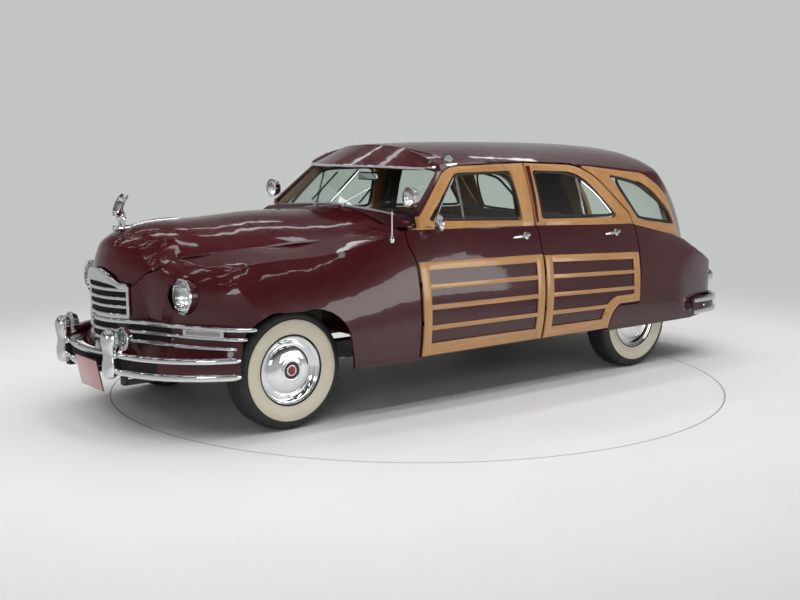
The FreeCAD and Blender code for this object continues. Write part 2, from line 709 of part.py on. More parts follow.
skirts = rest_below.common(skirt_zone(SKIRT_SEAM))
tyre_room = Part.makeCylinder(size("tyre_radius") + 12, 300,
                              V(size("rear_track") / 2 + size("tyre_width") / 2 - 290, rear_axle,
                                                          size("tyre_radius")), V(1, 0, 0))
skirts = both(skirts.cut(tyre_room))
UPPER_AXIS = (astern(699), 1441)
LOWER_AXIS = (astern(1057), 514)
GATE_PIN_X = 110
GATE_PIN_LENGTH = 84
LUG_RADIUS = 11
lug_rooms = {}
for name, (y, z) in (("upper", UPPER_AXIS), ("lower", LOWER_AXIS)):
    room = Part.makeCylinder(LUG_RADIUS + 6, GATE_PIN_LENGTH + 12, V(GATE_PIN_X - 6, y, z), V(1, 0, 0))
    lug_rooms[name] = both(room)
quarters = largest(rest_below.cut(both(skirt_zone(0))).cut(lug_rooms["lower"]))
subpart(feature("quarter_panels", Part.makeCompound([quarters] + skirts.Solids)), "quarter_panels")
roof = body_above.cut(both(frame_left)).cut(slab(ahead(-1200), ahead(845)))
roof = roof.common(block((-1100, 1100), (ahead(700), astern(1300)), (860, 1900)))
roof = largest(roof.cut(lug_rooms["upper"]).cut(fenders))
subpart(feature("roof", roof), "roof")
subpart(feature("quarter_wood", quarter_wood), "quarter_wood")
quarter_panes = both(glass_layer.common(left(QUARTER_WINDOW)))

# ---- pillars, sills and bulkheads ----------------------------------------------------------------
floor_height = size("floor_height")
POST_LINE = [(wide - 117, 402), (wide - 79, 620), (wide - 92, 800), (wide - 126, 960), (wide - 164, 1035),
             (wide - 172, 1120), (wide - 229, 1350), (wide - 306, 1560)]
HINGE_POST_LINE = [(wide - 117, 402), (wide - 87, 620), (wide - 107, 800), (wide - 134, 962)]
POST_DEPTH = 72
shape = end_prism(POST_LINE + [(x - POST_DEPTH, z) for x, z in reversed(POST_LINE)], split - 42, split + 44)
b_posts = shape.cut(roof)
a_posts = end_prism(HINGE_POST_LINE + [(x - POST_DEPTH, z) for x, z in reversed(HINGE_POST_LINE)],
                    ahead(862), ahead(955))
sills = block((wide - 197, wide - 117), (ahead(862), astern(-size("tyre_radius") - 62)), (sill + 10, 432))
posts = b_posts.fuse([a_posts, sills])
posts_both = both(posts)
subpart(feature("pillars", posts_both), "pillars")
hinges = []
for metal in hinge_metal:
    hinges.append(metal.cut(posts))
    hinges.append(hinges[-1].mirror(V(), V(1, 0, 0)))

# firewall and radiator support fill the hollow between the fenders
hollow = side_form(inner=True).common(side_plan(-fender_wall))
firewall = hollow.common(block((-1100, 1100), (ahead(842), ahead(862)), (floor_height, 1150))).cut(openings)
support = hollow.common(block((-1100, 1100), (ahead(-462), ahead(-442)), (420, 800)))
firewall = largest(firewall)
stops = []
underside = hood_form(-hood_wall - 0.3, 300)
for hand in (1, -1):
    stops.append(Part.makeCylinder(12, 600, V(hand * 300, ahead(-452), 800)).common(underside))
subpart(feature("bulkheads", Part.makeCompound([firewall, largest(support).fuse(stops)])), "bulkheads")

# cowl under the windshield, with wings that carry the windshield pillars
WING = 1152
DOOR_SWING = 752
COWL_PROFILE = [(-DOOR_SWING, 1060), (DOOR_SWING, 1060), (DOOR_SWING, WING), (858, WING), (858, 1160),
                ((800, 1196), (700, 1217)), ((0, 1256), (-700, 1217)), ((-800, 1196), (-858, 1160)),
                (-858, WING), (-DOOR_SWING, WING)]
cowl = end_prism(COWL_PROFILE, ahead(862), ahead(925)).cut(roof).cut(both(left(front_door_frame(gap))))
subpart(feature("cowl", largest(cowl)), "cowl")

# windshield: two flat panes that meet in a swept-back V, with a centre post
PANE_FOOT = 1190
PANE_HEAD = 1492
PANE_RAKE = 1.143


def pane_line(z, shift):
    """Station of the windshield's middle at a height."""
    return ahead(870 + shift + (z - 1256) * PANE_RAKE)


windshield = glass_prism([(pane_line(PANE_FOOT, 0), PANE_FOOT), (pane_line(PANE_FOOT, 9), PANE_FOOT),
                          (pane_line(PANE_HEAD, 9), PANE_HEAD), (pane_line(PANE_HEAD, 0), PANE_HEAD)])
windshield = windshield.common(inner_cabin).cut(cowl).cut(both(left(front_door_frame(gap))))
windshield = largest(windshield)
subpart(feature("fixed_glass", Part.makeCompound([windshield] + quarter_panes.Solids)), "fixed_glass")

# visor over the windshield: a curved skin on each side of its middle ridge, fitted to the roof
VISOR = [(0, [(886, 1512), (1190, 1644), (1187, 1652), (883, 1520)]),
         (360, [(1000, 1509), (1255, 1625), (1252, 1633), (997, 1517)]),
         (680, [(1205, 1495), (1372, 1552), (1369, 1560), (1202, 1503)])]
ribs = []
for x, steps in VISOR:
    ribs.append(wire_of([(ahead(v), z) for v, z in steps], lambda y, z: V(x, y, z)))
visor = both(Part.makeLoft(ribs, True, False, False, 3)).cut(outer_cabin)
subpart(feature("sun_visor", largest(visor)), "sun_visor")

# ---- tailgates -----------------------------------------------------------------------------------
tail_shell = shell.common(slab(astern(300), astern(1300)))
GATE_GAP = 5
GATE_WINDOW = 400
upper_gate = tail_shell.common(gate_prism(GATE_SPLIT + GATE_GAP, GATE_TOP))
gate_window = end_prism([(-GATE_WINDOW, 1010), (GATE_WINDOW, 1010), (GATE_WINDOW, 1280),
                         ((GATE_WINDOW - 30, 1345), (GATE_WINDOW - 120, 1365)), (-GATE_WINDOW + 120, 1365),
                         ((-GATE_WINDOW + 30, 1345), (-GATE_WINDOW, 1280))], astern(350), astern(1300))
lower_gate = tail_shell.common(gate_prism(GATE_FOOT, GATE_SPLIT - GATE_GAP))


def gate_hinge(axis, side, fixed):
    """Barrel hinges outside the skin: pins with leaves into the body, and the gate's lugs and their bores."""
    y, z = axis
    metal = []
    lugs = []
    bores = []
    for hand in (1, -1):
        start = GATE_PIN_X if hand > 0 else -GATE_PIN_X - GATE_PIN_LENGTH
        pin = Part.makeCylinder(pin_radius, GATE_PIN_LENGTH, V(start, y, z), V(1, 0, 0))
        bores.append(Part.makeCylinder(pin_radius + pin_clearance, GATE_PIN_LENGTH + 2, V(start - 1, y, z),
                                       V(1, 0, 0)))
        middle = start + GATE_PIN_LENGTH / 2
        leaf = block((middle - LEAF_HALF, middle + LEAF_HALF), (y - 75, y + 5), sorted((z, z + side * 30)))
        metal.append(pin.fuse(leaf.cut(fixed)))
        for low, high in ((start, middle - LEAF_HALF - LEAF_ROOM),
                          (middle + LEAF_HALF + LEAF_ROOM, start + GATE_PIN_LENGTH)):
            lugs.append(Part.makeCylinder(LUG_RADIUS, high - low, V(low, y, z), V(1, 0, 0)))
            lugs.append(block((low, high), (y - 30, y + 2), sorted((z - side * 10, z - side * 34))))
            lugs.append(block((low, high), (y - 8, y + 8), sorted((z, z - side * 20))))
    return [largest(pin) for pin in metal], lugs, bores


upper_pins, upper_lugs, upper_bores = gate_hinge(UPPER_AXIS, 1, roof)
lower_pins, lower_lugs, lower_bores = gate_hinge(LOWER_AXIS, -1, quarters)
upper_wood = largest(upper_gate.cut(gate_window).fuse(upper_lugs).cut(upper_bores[0].fuse(upper_bores[1])))
lower_wood = largest(lower_gate.fuse(lower_lugs).cut(lower_bores[0].fuse(lower_bores[1])))
subpart(feature("hinges", Part.makeCompound(hinges + upper_pins + lower_pins)), "hinges")
subpart(feature("tailgate_upper", upper_wood), "tailgate_upper")
subpart(feature("tailgate_glass", glass_layer.common(gate_window)), "tailgate_glass")
subpart(feature("tailgate_lower", lower_wood), "tailgate_lower")

# ---- nose: grille, lamps and bumpers -------------------------------------------------------------
bar = size("grille_bar")
nose_ring = side_plan(24).cut(side_plan(0.15)).common(slab(ahead(-1200), ahead(-300)))
rows = []
for z in (644, 590, 536):
    rows.append(nose_ring.common(block((-1200, 1200), (ahead(-1200), ahead(-300)),
                                       (z - bar / 2, z + bar / 2))))
upper_frame = nose_ring.common(grille_arch(0).cut(grille_arch(-22)))
for z in (730, 784, 838):
    rows.append(nose_ring.common(grille_arch(-20)).common(slab_between(z - 8, z + 8)))
for hand in (1, -1):
    rows.append(nose_ring.common(block(sorted((hand * (size("grille_half") - 22),
                                               hand * size("grille_half"))), (ahead(-1200),
                                                                              ahead(-600)), (536, 690))))
grille = rows[0].fuse(rows[1:] + [upper_frame])
subpart(feature("grille", grille), "grille")


def bumper_plan(offset):
    end = wide - 42 + offset
    turn = wide - 242 + offset * 0.8
    return [(-end, ahead(-375)), ((-turn, ahead(-690) - offset * 0.7), (-350, ahead(-869) - offset)),
            ((0, ahead(-925) - offset), (350, ahead(-869) - offset)),
            ((turn, ahead(-690) - offset * 0.7), (end, ahead(-375)))]


def bumper_ring(plan, depth, low, high, setback=0.0):
    outer = plan_prism(plan(-setback), low, high)
    return outer.cut(plan_prism(plan(-setback - depth), low - 1, high + 1))


bumper_bar = size("bumper_bar")
rail_side = size("rail_spacing") / 2
front_bumper = bumper_ring(bumper_plan, 30, 475 - bumper_bar / 2, 475 + bumper_bar / 2)
front_bumper = front_bumper.fuse([bumper_ring(bumper_plan, 30, 380 - bumper_bar / 2, 380 + bumper_bar / 2),
                                  bumper_ring(bumper_plan, 12, 380, 475, 12)])
guards = []
for hand in (1, -1):
    guards.append(block((hand * 330 - 30, hand * 330 + 30), (ahead(-925), ahead(-850)), (342, 630)))
    guards.append(block((hand * rail_side - 25, hand * rail_side + 25),
                        (ahead(-845), ahead(-size("rail_nose"))), (300, 340)))
    guards.append(block((hand * rail_side - 25, hand * rail_side + 25), (ahead(-855), ahead(-825)),
                        (300, 400)))
front_bumper = front_bumper.fuse(guards).cut(block((-165, 165), (ahead(-1200), ahead(-937)), (0, 900)))
subpart(feature("front_bumper", front_bumper), "front_bumper")


def rear_bumper_plan(offset):
    end = wide - 17 + offset
    turn = wide - 67 + offset
    corner = wide - 272
    return [(-end, astern(560)), ((-turn, astern(880) + offset * 0.5), (-corner, astern(1080) + offset)),
            ((0, astern(1194) + offset), (corner, astern(1080) + offset)),
            ((turn, astern(880) + offset * 0.5), (end, astern(560)))]


rear_bumper = bumper_ring(rear_bumper_plan, 30, 455 - bumper_bar / 2, 455 + bumper_bar / 2)
rear_bumper = rear_bumper.fuse([bumper_ring(rear_bumper_plan, 30, 372 - bumper_bar / 2, 372 + bumper_bar / 2),
                                bumper_ring(rear_bumper_plan, 12, 372, 455, 12)])
tail_brackets = []
for hand in (1, -1):
    tail_brackets.append(block((hand * rail_side - 25, hand * rail_side + 25), (astern(880), astern(1140)),
                               (300, 328)))
    tail_brackets.append(block((hand * rail_side - 25, hand * rail_side + 25), (astern(1110), astern(1140)),
                               (300, 400)))
rear_bumper = rear_bumper.fuse(tail_brackets)
subpart(feature("rear_bumper", rear_bumper), "rear_bumper")


# ---- lamps ---------------------------------------------------------------------------------------
head = rod("headlamp_bucket", "headlamp_radius", "130",
           ["headlamp_side", FRONT + " - 600", "headlamp_height"], "y")
fog = rod("fog_lamp_bucket", "fog_lamp_radius", "80", ["fog_lamp_side", FRONT + " - 850", "fog_lamp_height"],
          "y")
fog_stem = box("fog_stem", ("30", "30", "fog_lamp_height - 491"),
               ("fog_lamp_side - 15", FRONT + " - 858", "492"))
spot = rod("spotlight_bucket", "spotlight_radius", "95",
           ["spotlight_side", FRONT + " + 868", "spotlight_height"], "y")
spot_stem = rod("spotlight_stem", "9", "110", ["spotlight_side - 30", FRONT + " + 940",
                                               "spotlight_height - 20"], "y")
doc.recompute()
headlamps = both(head.Shape)
fog_lamps = both(fog.Shape.fuse(fog_stem.Shape).cut(front_bumper).cut(grille))
spotlights = both(largest(spot.Shape.fuse(spot_stem.Shape).cut(roof).cut(windshield)))
tail_lamp = Part.makeCylinder(38, 70, V(wide - 190, astern(760), 700), V(0, 1, 0)).cut(outer_side)
lamp_solids = []
for lamp in (headlamps, fog_lamps, spotlights, both(largest(tail_lamp))):
    lamp_solids += lamp.Solids
subpart(feature("lamps", Part.makeCompound(lamp_solids)), "lamps")

# ---- number plates, with the two fixing holes of each --------------------------------------------
plate = box("plate_blank", ("plate_width", "6", "plate_height"),
            ("plate_side - plate_width / 2", FRONT + " - front_overhang", "plate_foot"))
holes = []
for hand in (1, -1):
    holes.append(rod("plate_hole_%s" % ("left" if hand > 0 else "right"), "plate_hole / 2", "40",
                     ["plate_side + %d * plate_hole_spacing / 2" % hand, FRONT + " - front_overhang - 10",
                      "plate_foot + plate_height - 20"], "y"))
drilled = cut("plate_drilled", plate, fuse("plate_holes", holes))
doc.recompute()
plate_arms = []
for hand in (1, -1):
    arm = size("plate_side") + hand * 110
    plate_arms.append(block((arm - 12, arm + 12), (ahead(-size("front_overhang") + 6), ahead(-860)),
                            (370, 430)))
plate_arms = Part.makeCompound(plate_arms).cut(front_bumper)
arms = [solid for solid in plate_arms.Solids if solid.BoundBox.YMin < ahead(-size("front_overhang") + 7)]
subpart(feature("number_plate", drilled.Shape.fuse(arms)), "number_plate")

# ---- chassis -------------------------------------------------------------------------------------
RAIL = "rail_spacing / 2"
rails = []
for hand in ("left", "right"):
    side = RAIL + " - rail_width / 2" if hand == "left" else "-" + RAIL + " - rail_width / 2"
    rails.append(box("front_rail_" + hand, ("rail_width", "rail_nose + wheelbase - rail_step + 80",
                                            "rail_height"),
                     (side, FRONT + " - rail_nose", "rail_bottom")))
    rails.append(box("rail_rise_" + hand, ("rail_width", "80",
                                           "rear_rail_bottom + rail_height - rail_bottom"),
                     (side, REAR + " - rail_step", "rail_bottom")))
    rails.append(box("rear_rail_" + hand, ("rail_width", "rail_step + 880", "rail_height"),
                     (side, REAR + " - rail_step", "rear_rail_bottom")))
    rails.append(box("rail_tail_" + hand, ("rail_width", "60", "rear_rail_bottom - 300"),
                     (side, REAR + " + 820", "300")))
for name, y, z in (("front", FRONT + " - rail_nose + 20", "rail_bottom"),
                   ("seat", FRONT + " + 1650", "rail_bottom"),
                   ("tail", REAR + " + 780", "rear_rail_bottom")):
    rails.append(box("cross_member_" + name, ("rail_spacing", "70", "rail_height * 0.8"),
                     ("-rail_spacing / 2", y, z)))
for hand in ("left", "right"):
    side = RAIL + " - rail_width / 2" if hand == "left" else "-" + RAIL + " - rail_width / 2"
    rails.append(box("front_jack_pad_" + hand, ("rail_width", "80", "6"),
                     (side, FRONT + " + 700", "rail_bottom - 6")))
    rails.append(box("rear_jack_pad_" + hand, ("rail_width", "80", "6"),
                     (side, REAR + " - 760", "rail_bottom - 6")))
chassis = subpart(fuse("chassis", rails), "chassis_frame")
doc.recompute()

# ---- floor ---------------------------------------------------------------------------------------
load_floor = size("load_floor_height")
floor_thickness = size("floor_thickness")
rise = rear_axle - size("rail_step") - 1
front_floor = block((-774, 774), (ahead(863), rise), (floor_height + 1, floor_height + floor_thickness))
kick = block((-774, 774), (rise - floor_thickness, rise), (floor_height + 1, load_floor))
deck = inner_side.fuse(inner_cabin).common(block((-1100, 1100), (rise, astern(1400)),
                                                 (load_floor - floor_thickness, load_floor)))
deck = deck.common(cabin_form(-cabin_wall - 14))
tyre = size("tyre_radius")
wheel_room = block((625, 1100), (astern(-tyre - 37), astern(tyre + 52)), (0, 2 * tyre + 54))
house = block((613, wide - 88), (astern(-tyre - 49), astern(tyre + 64)), (430, 2 * tyre + 66)).cut(wheel_room)
house = house.cut(side_prism(rear_door_metal(gap / 2 + 1), DOOR_INSIDE - gap / 2 - 1, OUTSIDE))
floor = front_floor.fuse([kick, deck.cut(both(wheel_room)),
                          both(house)]).cut(shell).cut(posts_both).cut(chassis.Shape)
subpart(feature("floor_pan", largest(floor)), "floor_pan")

# ---- front suspension with its king pins ---------------------------------------------------------
PIN_SIDE = "(front_track / 2 - king_pin_offset)"
suspension = [box("suspension_beam", ("rail_spacing + 60", "110", "42"),
                  ("-rail_spacing / 2 - 30", FRONT + " - 55", "rail_bottom - 42"))]
for hand, sign in (("left", 1), ("right", -1)):
    corner = "rail_spacing / 2 + 30" if sign > 0 else "-" + PIN_SIDE + " - 22"
    reach = PIN_SIDE + " + 22 - rail_spacing / 2 - 30"
    suspension.append(box("lower_arm_" + hand, (reach, "46", "20"),
                          (corner, FRONT + " - 23", "rail_bottom - 42")))
    suspension.append(box("upper_arm_" + hand, (reach, "46", "20"),
                          (corner, FRONT + " - 23", "tyre_radius + 100")))
    tower = "rail_spacing / 2 - 30" if sign > 0 else "-rail_spacing / 2 - 30"
    suspension.append(box("tower_" + hand, ("60", "90", "tyre_radius + 120 - rail_bottom - rail_height"),
                          (tower, FRONT + " - 45", "rail_bottom + rail_height")))
    suspension.append(rod("king_pin_" + hand, "king_pin_radius", "tyre_radius + 110 - rail_bottom + 42",
                          ["%d * %s" % (sign, PIN_SIDE), FRONT, "rail_bottom - 42"]))
subpart(fuse("suspension", suspension), "front_suspension")

# ---- knuckles: a sleeve on the king pin and the stub axle that the wheel turns on ----------------
KNUCKLE_FOOT = "(rail_bottom - 42 + 20 + 2)"
KNUCKLE_HEIGHT = "(tyre_radius + 100 - 2 - rail_bottom + 42 - 20 - 2)"
for hand, sign in (("left", 1), ("right", -1)):
    centre = "%d * %s" % (sign, PIN_SIDE)
    sleeve = rod("sleeve_" + hand, "king_pin_radius + 16", KNUCKLE_HEIGHT, [centre, FRONT, KNUCKLE_FOOT])
    start = PIN_SIDE if sign > 0 else "-" + PIN_SIDE + " - king_pin_offset - 60"
    stub = rod("stub_" + hand, "20", "king_pin_offset + 60", [start, FRONT, "tyre_radius"], "x")
    bore = rod("king_bore_" + hand, "king_pin_radius + pin_clearance", KNUCKLE_HEIGHT + " + 4",
               [centre, FRONT, KNUCKLE_FOOT + " - 2"])
    subpart(cut("knuckle_" + hand, fuse("knuckle_blank_" + hand, [sleeve, stub]), bore), "knuckle_" + hand)

# ---- rear axle with its springs ------------------------------------------------------------------
axle = [rod("axle_tube", "38", "rear_track - 180", ["-rear_track / 2 + 90", REAR, "tyre_radius"], "x"),
        rod("axle_shaft", "20", "rear_track + 120", ["-rear_track / 2 - 60", REAR, "tyre_radius"], "x")]
axle.append(rod("differential", "118", "150", ["-75", REAR, "tyre_radius"], "x"))
axle.append(rod("pinion_nose", "62", "230", ["0", REAR + " - 230", "tyre_radius"], "y"))
for hand, x in (("left", "480"), ("right", "-540")):
    axle.append(box("spring_" + hand, ("60", "1240", "34"), (x, REAR + " - 620", "tyre_radius - 70")))
    inner = "rail_spacing / 2 + rail_width / 2"
    if hand == "right":
        inner = "-" + inner.replace("+", "-") + " - 90"
    axle.append(box("front_hanger_" + hand, ("90", "60", "102"),
                    (inner, REAR + " - 620", "tyre_radius - 60")))
    axle.append(box("rear_hanger_" + hand, ("90", "60", "rear_rail_bottom + 60 - tyre_radius + 60"),
                    (inner, REAR + " + 560", "tyre_radius - 60")))
    axle.append(box("spring_seat_" + hand, ("60", "100", "50"), (x, REAR + " - 50", "tyre_radius - 60")))
subpart(fuse("rear_axle_parts", axle), "rear_axle")

# ---- wheels --------------------------------------------------------------------------------------
tyre_steps = [("-rim_width / 2", "rim_radius"), ("rim_width / 2", "rim_radius"),
              ("tyre_width / 2 - 8", "rim_radius + 30"),
              ("tyre_width / 2", "rim_radius + 62"), ("tyre_width / 2 - 4", "tyre_radius - 42"),
              ("tyre_width / 2 - 26", "tyre_radius - 8"), ("tyre_width / 2 - 52", "tyre_radius"),
              ("-tyre_width / 2 + 52", "tyre_radius"), ("-tyre_width / 2 + 26", "tyre_radius - 8"),
              ("-tyre_width / 2 + 4", "tyre_radius - 42"), ("-tyre_width / 2", "rim_radius + 62"),
              ("-tyre_width / 2 + 8", "rim_radius + 30")]
wheel_steps = [("-rim_width / 2", "rim_radius"), ("-rim_width / 2", "rim_radius - 16"),
               ("12", "rim_radius - 24"),
               ("12", "hub_radius"), ("-10", "hub_radius"), ("-10", "20 + pin_clearance"),
               ("62", "20 + pin_clearance"),
               ("62", "hub_radius"), ("30", "rim_radius - 60"), ("26", "rim_radius - 24"),
               ("rim_width / 2", "rim_radius - 16"), ("rim_width / 2", "rim_radius")]
CORNERS = [("front_left", "front_track / 2", FRONT, 1), ("front_right", "-front_track / 2", FRONT, -1),
           ("rear_left", "rear_track / 2", REAR, 1), ("rear_right", "-rear_track / 2", REAR, -1)]
for corner, x, y, sign in CORNERS:
    for kind, steps in (("tyre", tyre_steps), ("wheel", wheel_steps)):
        body = revolved("%s_%s" % (kind, corner), "XY_Plane", steps, "H_Axis")
        if sign < 0:
            body.Placement = FreeCAD.Placement(V(), FreeCAD.Rotation(V(0, 0, 1), 180))
        for axis, text in zip("xyz", (x, y, "tyre_radius")):
            body.setExpression("Placement.Base." + axis, bound(text))
        subpart(body, "%s_%s" % (kind, corner))

# ---- engine, exhaust and tank --------------------------------------------------------------------
engine = fuse("engine_block", [
    box("engine_body", ("460", "900", "520"), ("-230", FRONT + " - 260", "rail_bottom + rail_height + 60")),
    box("engine_mount", ("rail_spacing + rail_width", "80", "60"),
        ("-rail_spacing / 2 - rail_width / 2", FRONT + " + 180", "rail_bottom + rail_height")),
    box("gearbox", ("260", "60", "260"), ("-130", FRONT + " + 640", "rail_bottom + rail_height + 60"))])
subpart(engine, "engine")


def tube_along(points, radius, bend):
    """Round bar along straight runs joined by tangent arcs."""
    edges = []
    start = points[0]
    for before, corner, after in zip(points, points[1:], points[2:]):
        back = (before - corner).normalize()
        forth = (after - corner).normalize()
        turn = math.pi - back.getAngle(forth)
        trim = bend * math.tan(turn / 2)
        enter = corner + back * trim
        leave = corner + forth * trim
        inward = (back + forth).normalize()
        middle = corner + inward * (bend / math.cos(turn / 2) - bend)
        edges.append(Part.LineSegment(start, enter).toShape())
        edges.append(Part.Arc(enter, middle, leave).toShape())
        start = leave
    edges.append(Part.LineSegment(start, points[-1]).toShape())
    path = Part.Wire(edges)
    ring = Part.Wire([Part.makeCircle(radius, points[0], points[1] - points[0])])
    return path.makePipeShell([ring], True, True)


PIPE_SIDE = -250
pipe_low = size("rail_bottom") - 40
over_axle = size("tyre_radius") + 100
pipe = tube_along([V(PIPE_SIDE, ahead(300), pipe_low), V(PIPE_SIDE, astern(-420), pipe_low),
                   V(PIPE_SIDE, astern(-160), over_axle), V(PIPE_SIDE, astern(160), over_axle),
                   V(PIPE_SIDE, astern(420), pipe_low + 40), V(PIPE_SIDE, astern(1060), pipe_low + 40)], 24,
                   110)
muffler = Part.makeCylinder(62, 640, V(PIPE_SIDE, ahead(1350), pipe_low - 26), V(0, 1, 0))
straps = [block((PIPE_SIDE - 120, PIPE_SIDE + 10), (ahead(1400), ahead(1430)),
                (pipe_low - 10, pipe_low + 10)),
          block((PIPE_SIDE - 120, PIPE_SIDE - 90), (ahead(1400), ahead(1430)),
                (pipe_low - 10, size("rail_bottom")))]
subpart(feature("exhaust", pipe.fuse([muffler] + straps)), "exhaust")
tank = box("tank_body", ("640", "420", "120"), ("-200", REAR + " + 480", "rear_rail_bottom - 120"))
subpart(tank, "fuel_tank")
tank.setExpression("Length", bound("rail_spacing / 2 + 169"))

# ---- seats and controls --------------------------------------------------------------------------
for which, y, width in (("front", "front_seat_station", "seat_width"),
                        ("rear", "rear_seat_station", "rear_seat_width")):
    y = "%s + %s" % (FRONT, y)
    side = "-%s / 2" % width
    foot = "floor_height + floor_thickness"
    seat = fuse(which + "_seat_parts", [
        box(which + "_riser", (width + " - 120", "420", "110"), (side + " + 60", y + " + 60", foot)),
        box(which + "_cushion", (width, "540", "190"), (side, y, foot + " + 110")),
        box(which + "_back", (width, "150", "690"), (side, y + " + 540", foot + " + 60"))])
    if which == "rear":
        doc.getObject("rear_back").setExpression("Width", "96")
        doc.getObject("rear_cushion").setExpression("Width", "380")
        doc.getObject("rear_back").setExpression("Placement.Base.y", bound(y + " + 380"))
        doc.getObject("rear_riser").setExpression("Width", "260")
    subpart(seat, which + "_seat")
dash = box("dash_panel", ("1490", "150", "150"), ("-745", FRONT + " + 925.3", "1000"))
rake = math.radians(size("steering_rake"))
column_run = V(0, math.cos(rake), math.sin(rake))
wheel_centre = V(size("steering_side"), ahead(1290), 1035)
column = Part.makeCylinder(20, 500, wheel_centre - column_run * 530, column_run)
doc.recompute()
hanger = block((355, 405), (ahead(960), ahead(1000)), (850, 1000))
board = dash.Shape.fuse([column, hanger]).cut(cowl).cut(firewall)
board = board.cut(block((-900, 900), (ahead(400), ahead(862)), (0, 1500)))
subpart(feature("dashboard", largest(board)), "dashboard")
radius = size("steering_wheel_radius")
rim = Part.makeTorus(radius, size("steering_rim"), wheel_centre, column_run)
spokes = [Part.makeCylinder(9, 2 * radius, wheel_centre - V(radius, 0, 0), V(1, 0, 0))]
hub = Part.makeCylinder(38, 40, wheel_centre - column_run * 25, column_run)
shaft = Part.makeCylinder(12, 6, wheel_centre - column_run * 29.7, column_run)
subpart(feature("steering_wheel", rim.fuse(spokes + [hub, shaft])), "steering_wheel")

# ---- hood ornament: two plain swept blades on a low foot -----------------------------------------
foot = side_prism([(ahead(-700), 1100), (ahead(-560), 1100), (ahead(-520), 1215),
                   ((ahead(-610), 1212), (ahead(-700), 1165))],
                  -11, 11)
blade = side_prism([(ahead(-668), 1150), (ahead(-612), 1150), ((ahead(-606), 1290), (ahead(-548), 1366)),
                    ((ahead(-640), 1352), (ahead(-655), 1260))], -9, 9)
ornament = foot.fuse(blade).cut(hood_form())
subpart(feature("hood_ornament", largest(ornament)), "hood_ornament")

# ---- write ---------------------------------------------------------------------------------------
doc.recompute()
for made in doc.Objects:
    if "Invalid" in made.State or "Error" in made.State:
        raise SystemExit("%s failed: %s" % (made.Name, made.State))
for made in subparts:
    if made.Shape.isNull() or not made.Shape.isValid() or not made.Shape.Solids:
        raise SystemExit("%s has no valid shape" % made.Label)
os.makedirs("parts", exist_ok=True)
for made in subparts:
    made.Shape.exportStep("parts/%s.step" % made.Label)
print(len(subparts), "sub-parts written")
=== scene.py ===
import json
import math
import bmesh
import bpy
from mathutils import Matrix, Vector
from mathutils.bvhtree import BVHTree


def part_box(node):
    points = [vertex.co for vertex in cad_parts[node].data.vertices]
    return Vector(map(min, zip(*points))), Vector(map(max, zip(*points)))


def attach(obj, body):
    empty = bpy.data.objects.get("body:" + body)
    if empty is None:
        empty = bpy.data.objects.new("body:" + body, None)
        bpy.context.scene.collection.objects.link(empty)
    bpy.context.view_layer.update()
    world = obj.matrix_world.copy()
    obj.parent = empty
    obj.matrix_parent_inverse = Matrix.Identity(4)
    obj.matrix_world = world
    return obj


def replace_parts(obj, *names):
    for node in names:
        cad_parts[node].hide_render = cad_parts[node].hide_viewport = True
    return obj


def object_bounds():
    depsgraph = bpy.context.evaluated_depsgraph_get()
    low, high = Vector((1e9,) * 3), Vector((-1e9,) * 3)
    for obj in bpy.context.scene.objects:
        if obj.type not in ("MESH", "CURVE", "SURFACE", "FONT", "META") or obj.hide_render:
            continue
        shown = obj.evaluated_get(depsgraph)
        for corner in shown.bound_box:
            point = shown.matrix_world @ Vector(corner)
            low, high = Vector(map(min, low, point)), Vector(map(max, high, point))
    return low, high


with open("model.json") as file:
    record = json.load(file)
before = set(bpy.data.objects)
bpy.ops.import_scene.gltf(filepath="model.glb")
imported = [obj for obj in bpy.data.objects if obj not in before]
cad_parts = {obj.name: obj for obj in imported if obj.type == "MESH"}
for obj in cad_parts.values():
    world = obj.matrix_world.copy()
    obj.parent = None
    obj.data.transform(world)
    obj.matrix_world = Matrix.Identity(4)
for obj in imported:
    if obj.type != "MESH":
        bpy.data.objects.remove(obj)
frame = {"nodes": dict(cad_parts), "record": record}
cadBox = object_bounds()
nodes = frame["nodes"]
lowCorner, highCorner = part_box("tyre_front_left")
frontAxle = (lowCorner.y + highCorner.y) / 2
tyreRadius = (highCorner.z - lowCorner.z) / 2
print("frame loaded:", len(nodes), "nodes")


# camera, floor, backdrop and lamps
# a wall lamp has a place, an aim, a size and a power, and may light plain surfaces
view = {"place": (6.4146, -5.2649, 1.736), "aim": (-0.7743, 0.6163, -0.1438), "lens": 51.8}
studio = {"floor": (0.84, 0.84, 0.835), "backdrop": (0.545, 0.56, 0.54), "horizon": (0.5, 0.5, 0.49),
          "ceiling": (0.2, 0.2, 0.2), "mirrorLow": (0.42, 0.42, 0.42), "mirrorHigh": (0.05, 0.05, 0.05),
          "mirrorCove": (1.8, 4.2), "reach": 60, "ringAt": (0.19, -0.16), "ring": 2.12, "cove": (2.9, 6.6),
          "lampHeight": 5.0, "lampPower": 15.7, "lampSize": (0.22, 1.5),
          "lampRows": (-5.6, -3.4, -1.2, 1.0, 3.2, 5.4), "lampSides": (-3.6, -2.2, -0.8, 0.8, 2.2, 3.6),
          "dashPower": 3.6, "dashDrop": 0.15, "ringLine": (0.33, 0.33, 0.33), "ringWide": (0.003, 0.007),
          "fade": (0.02, 0.6), "mirrorFade": (0.0, 0.7),
          "walls": (((7.0, -7.5, 3.4), (0, 0, 0.8), (3.0, 2.0), 90, True),
                    ((5.3, 1.3, 1.25), (0.93, -1.5, 0.7), (4.2, 1.7), 62, False))}

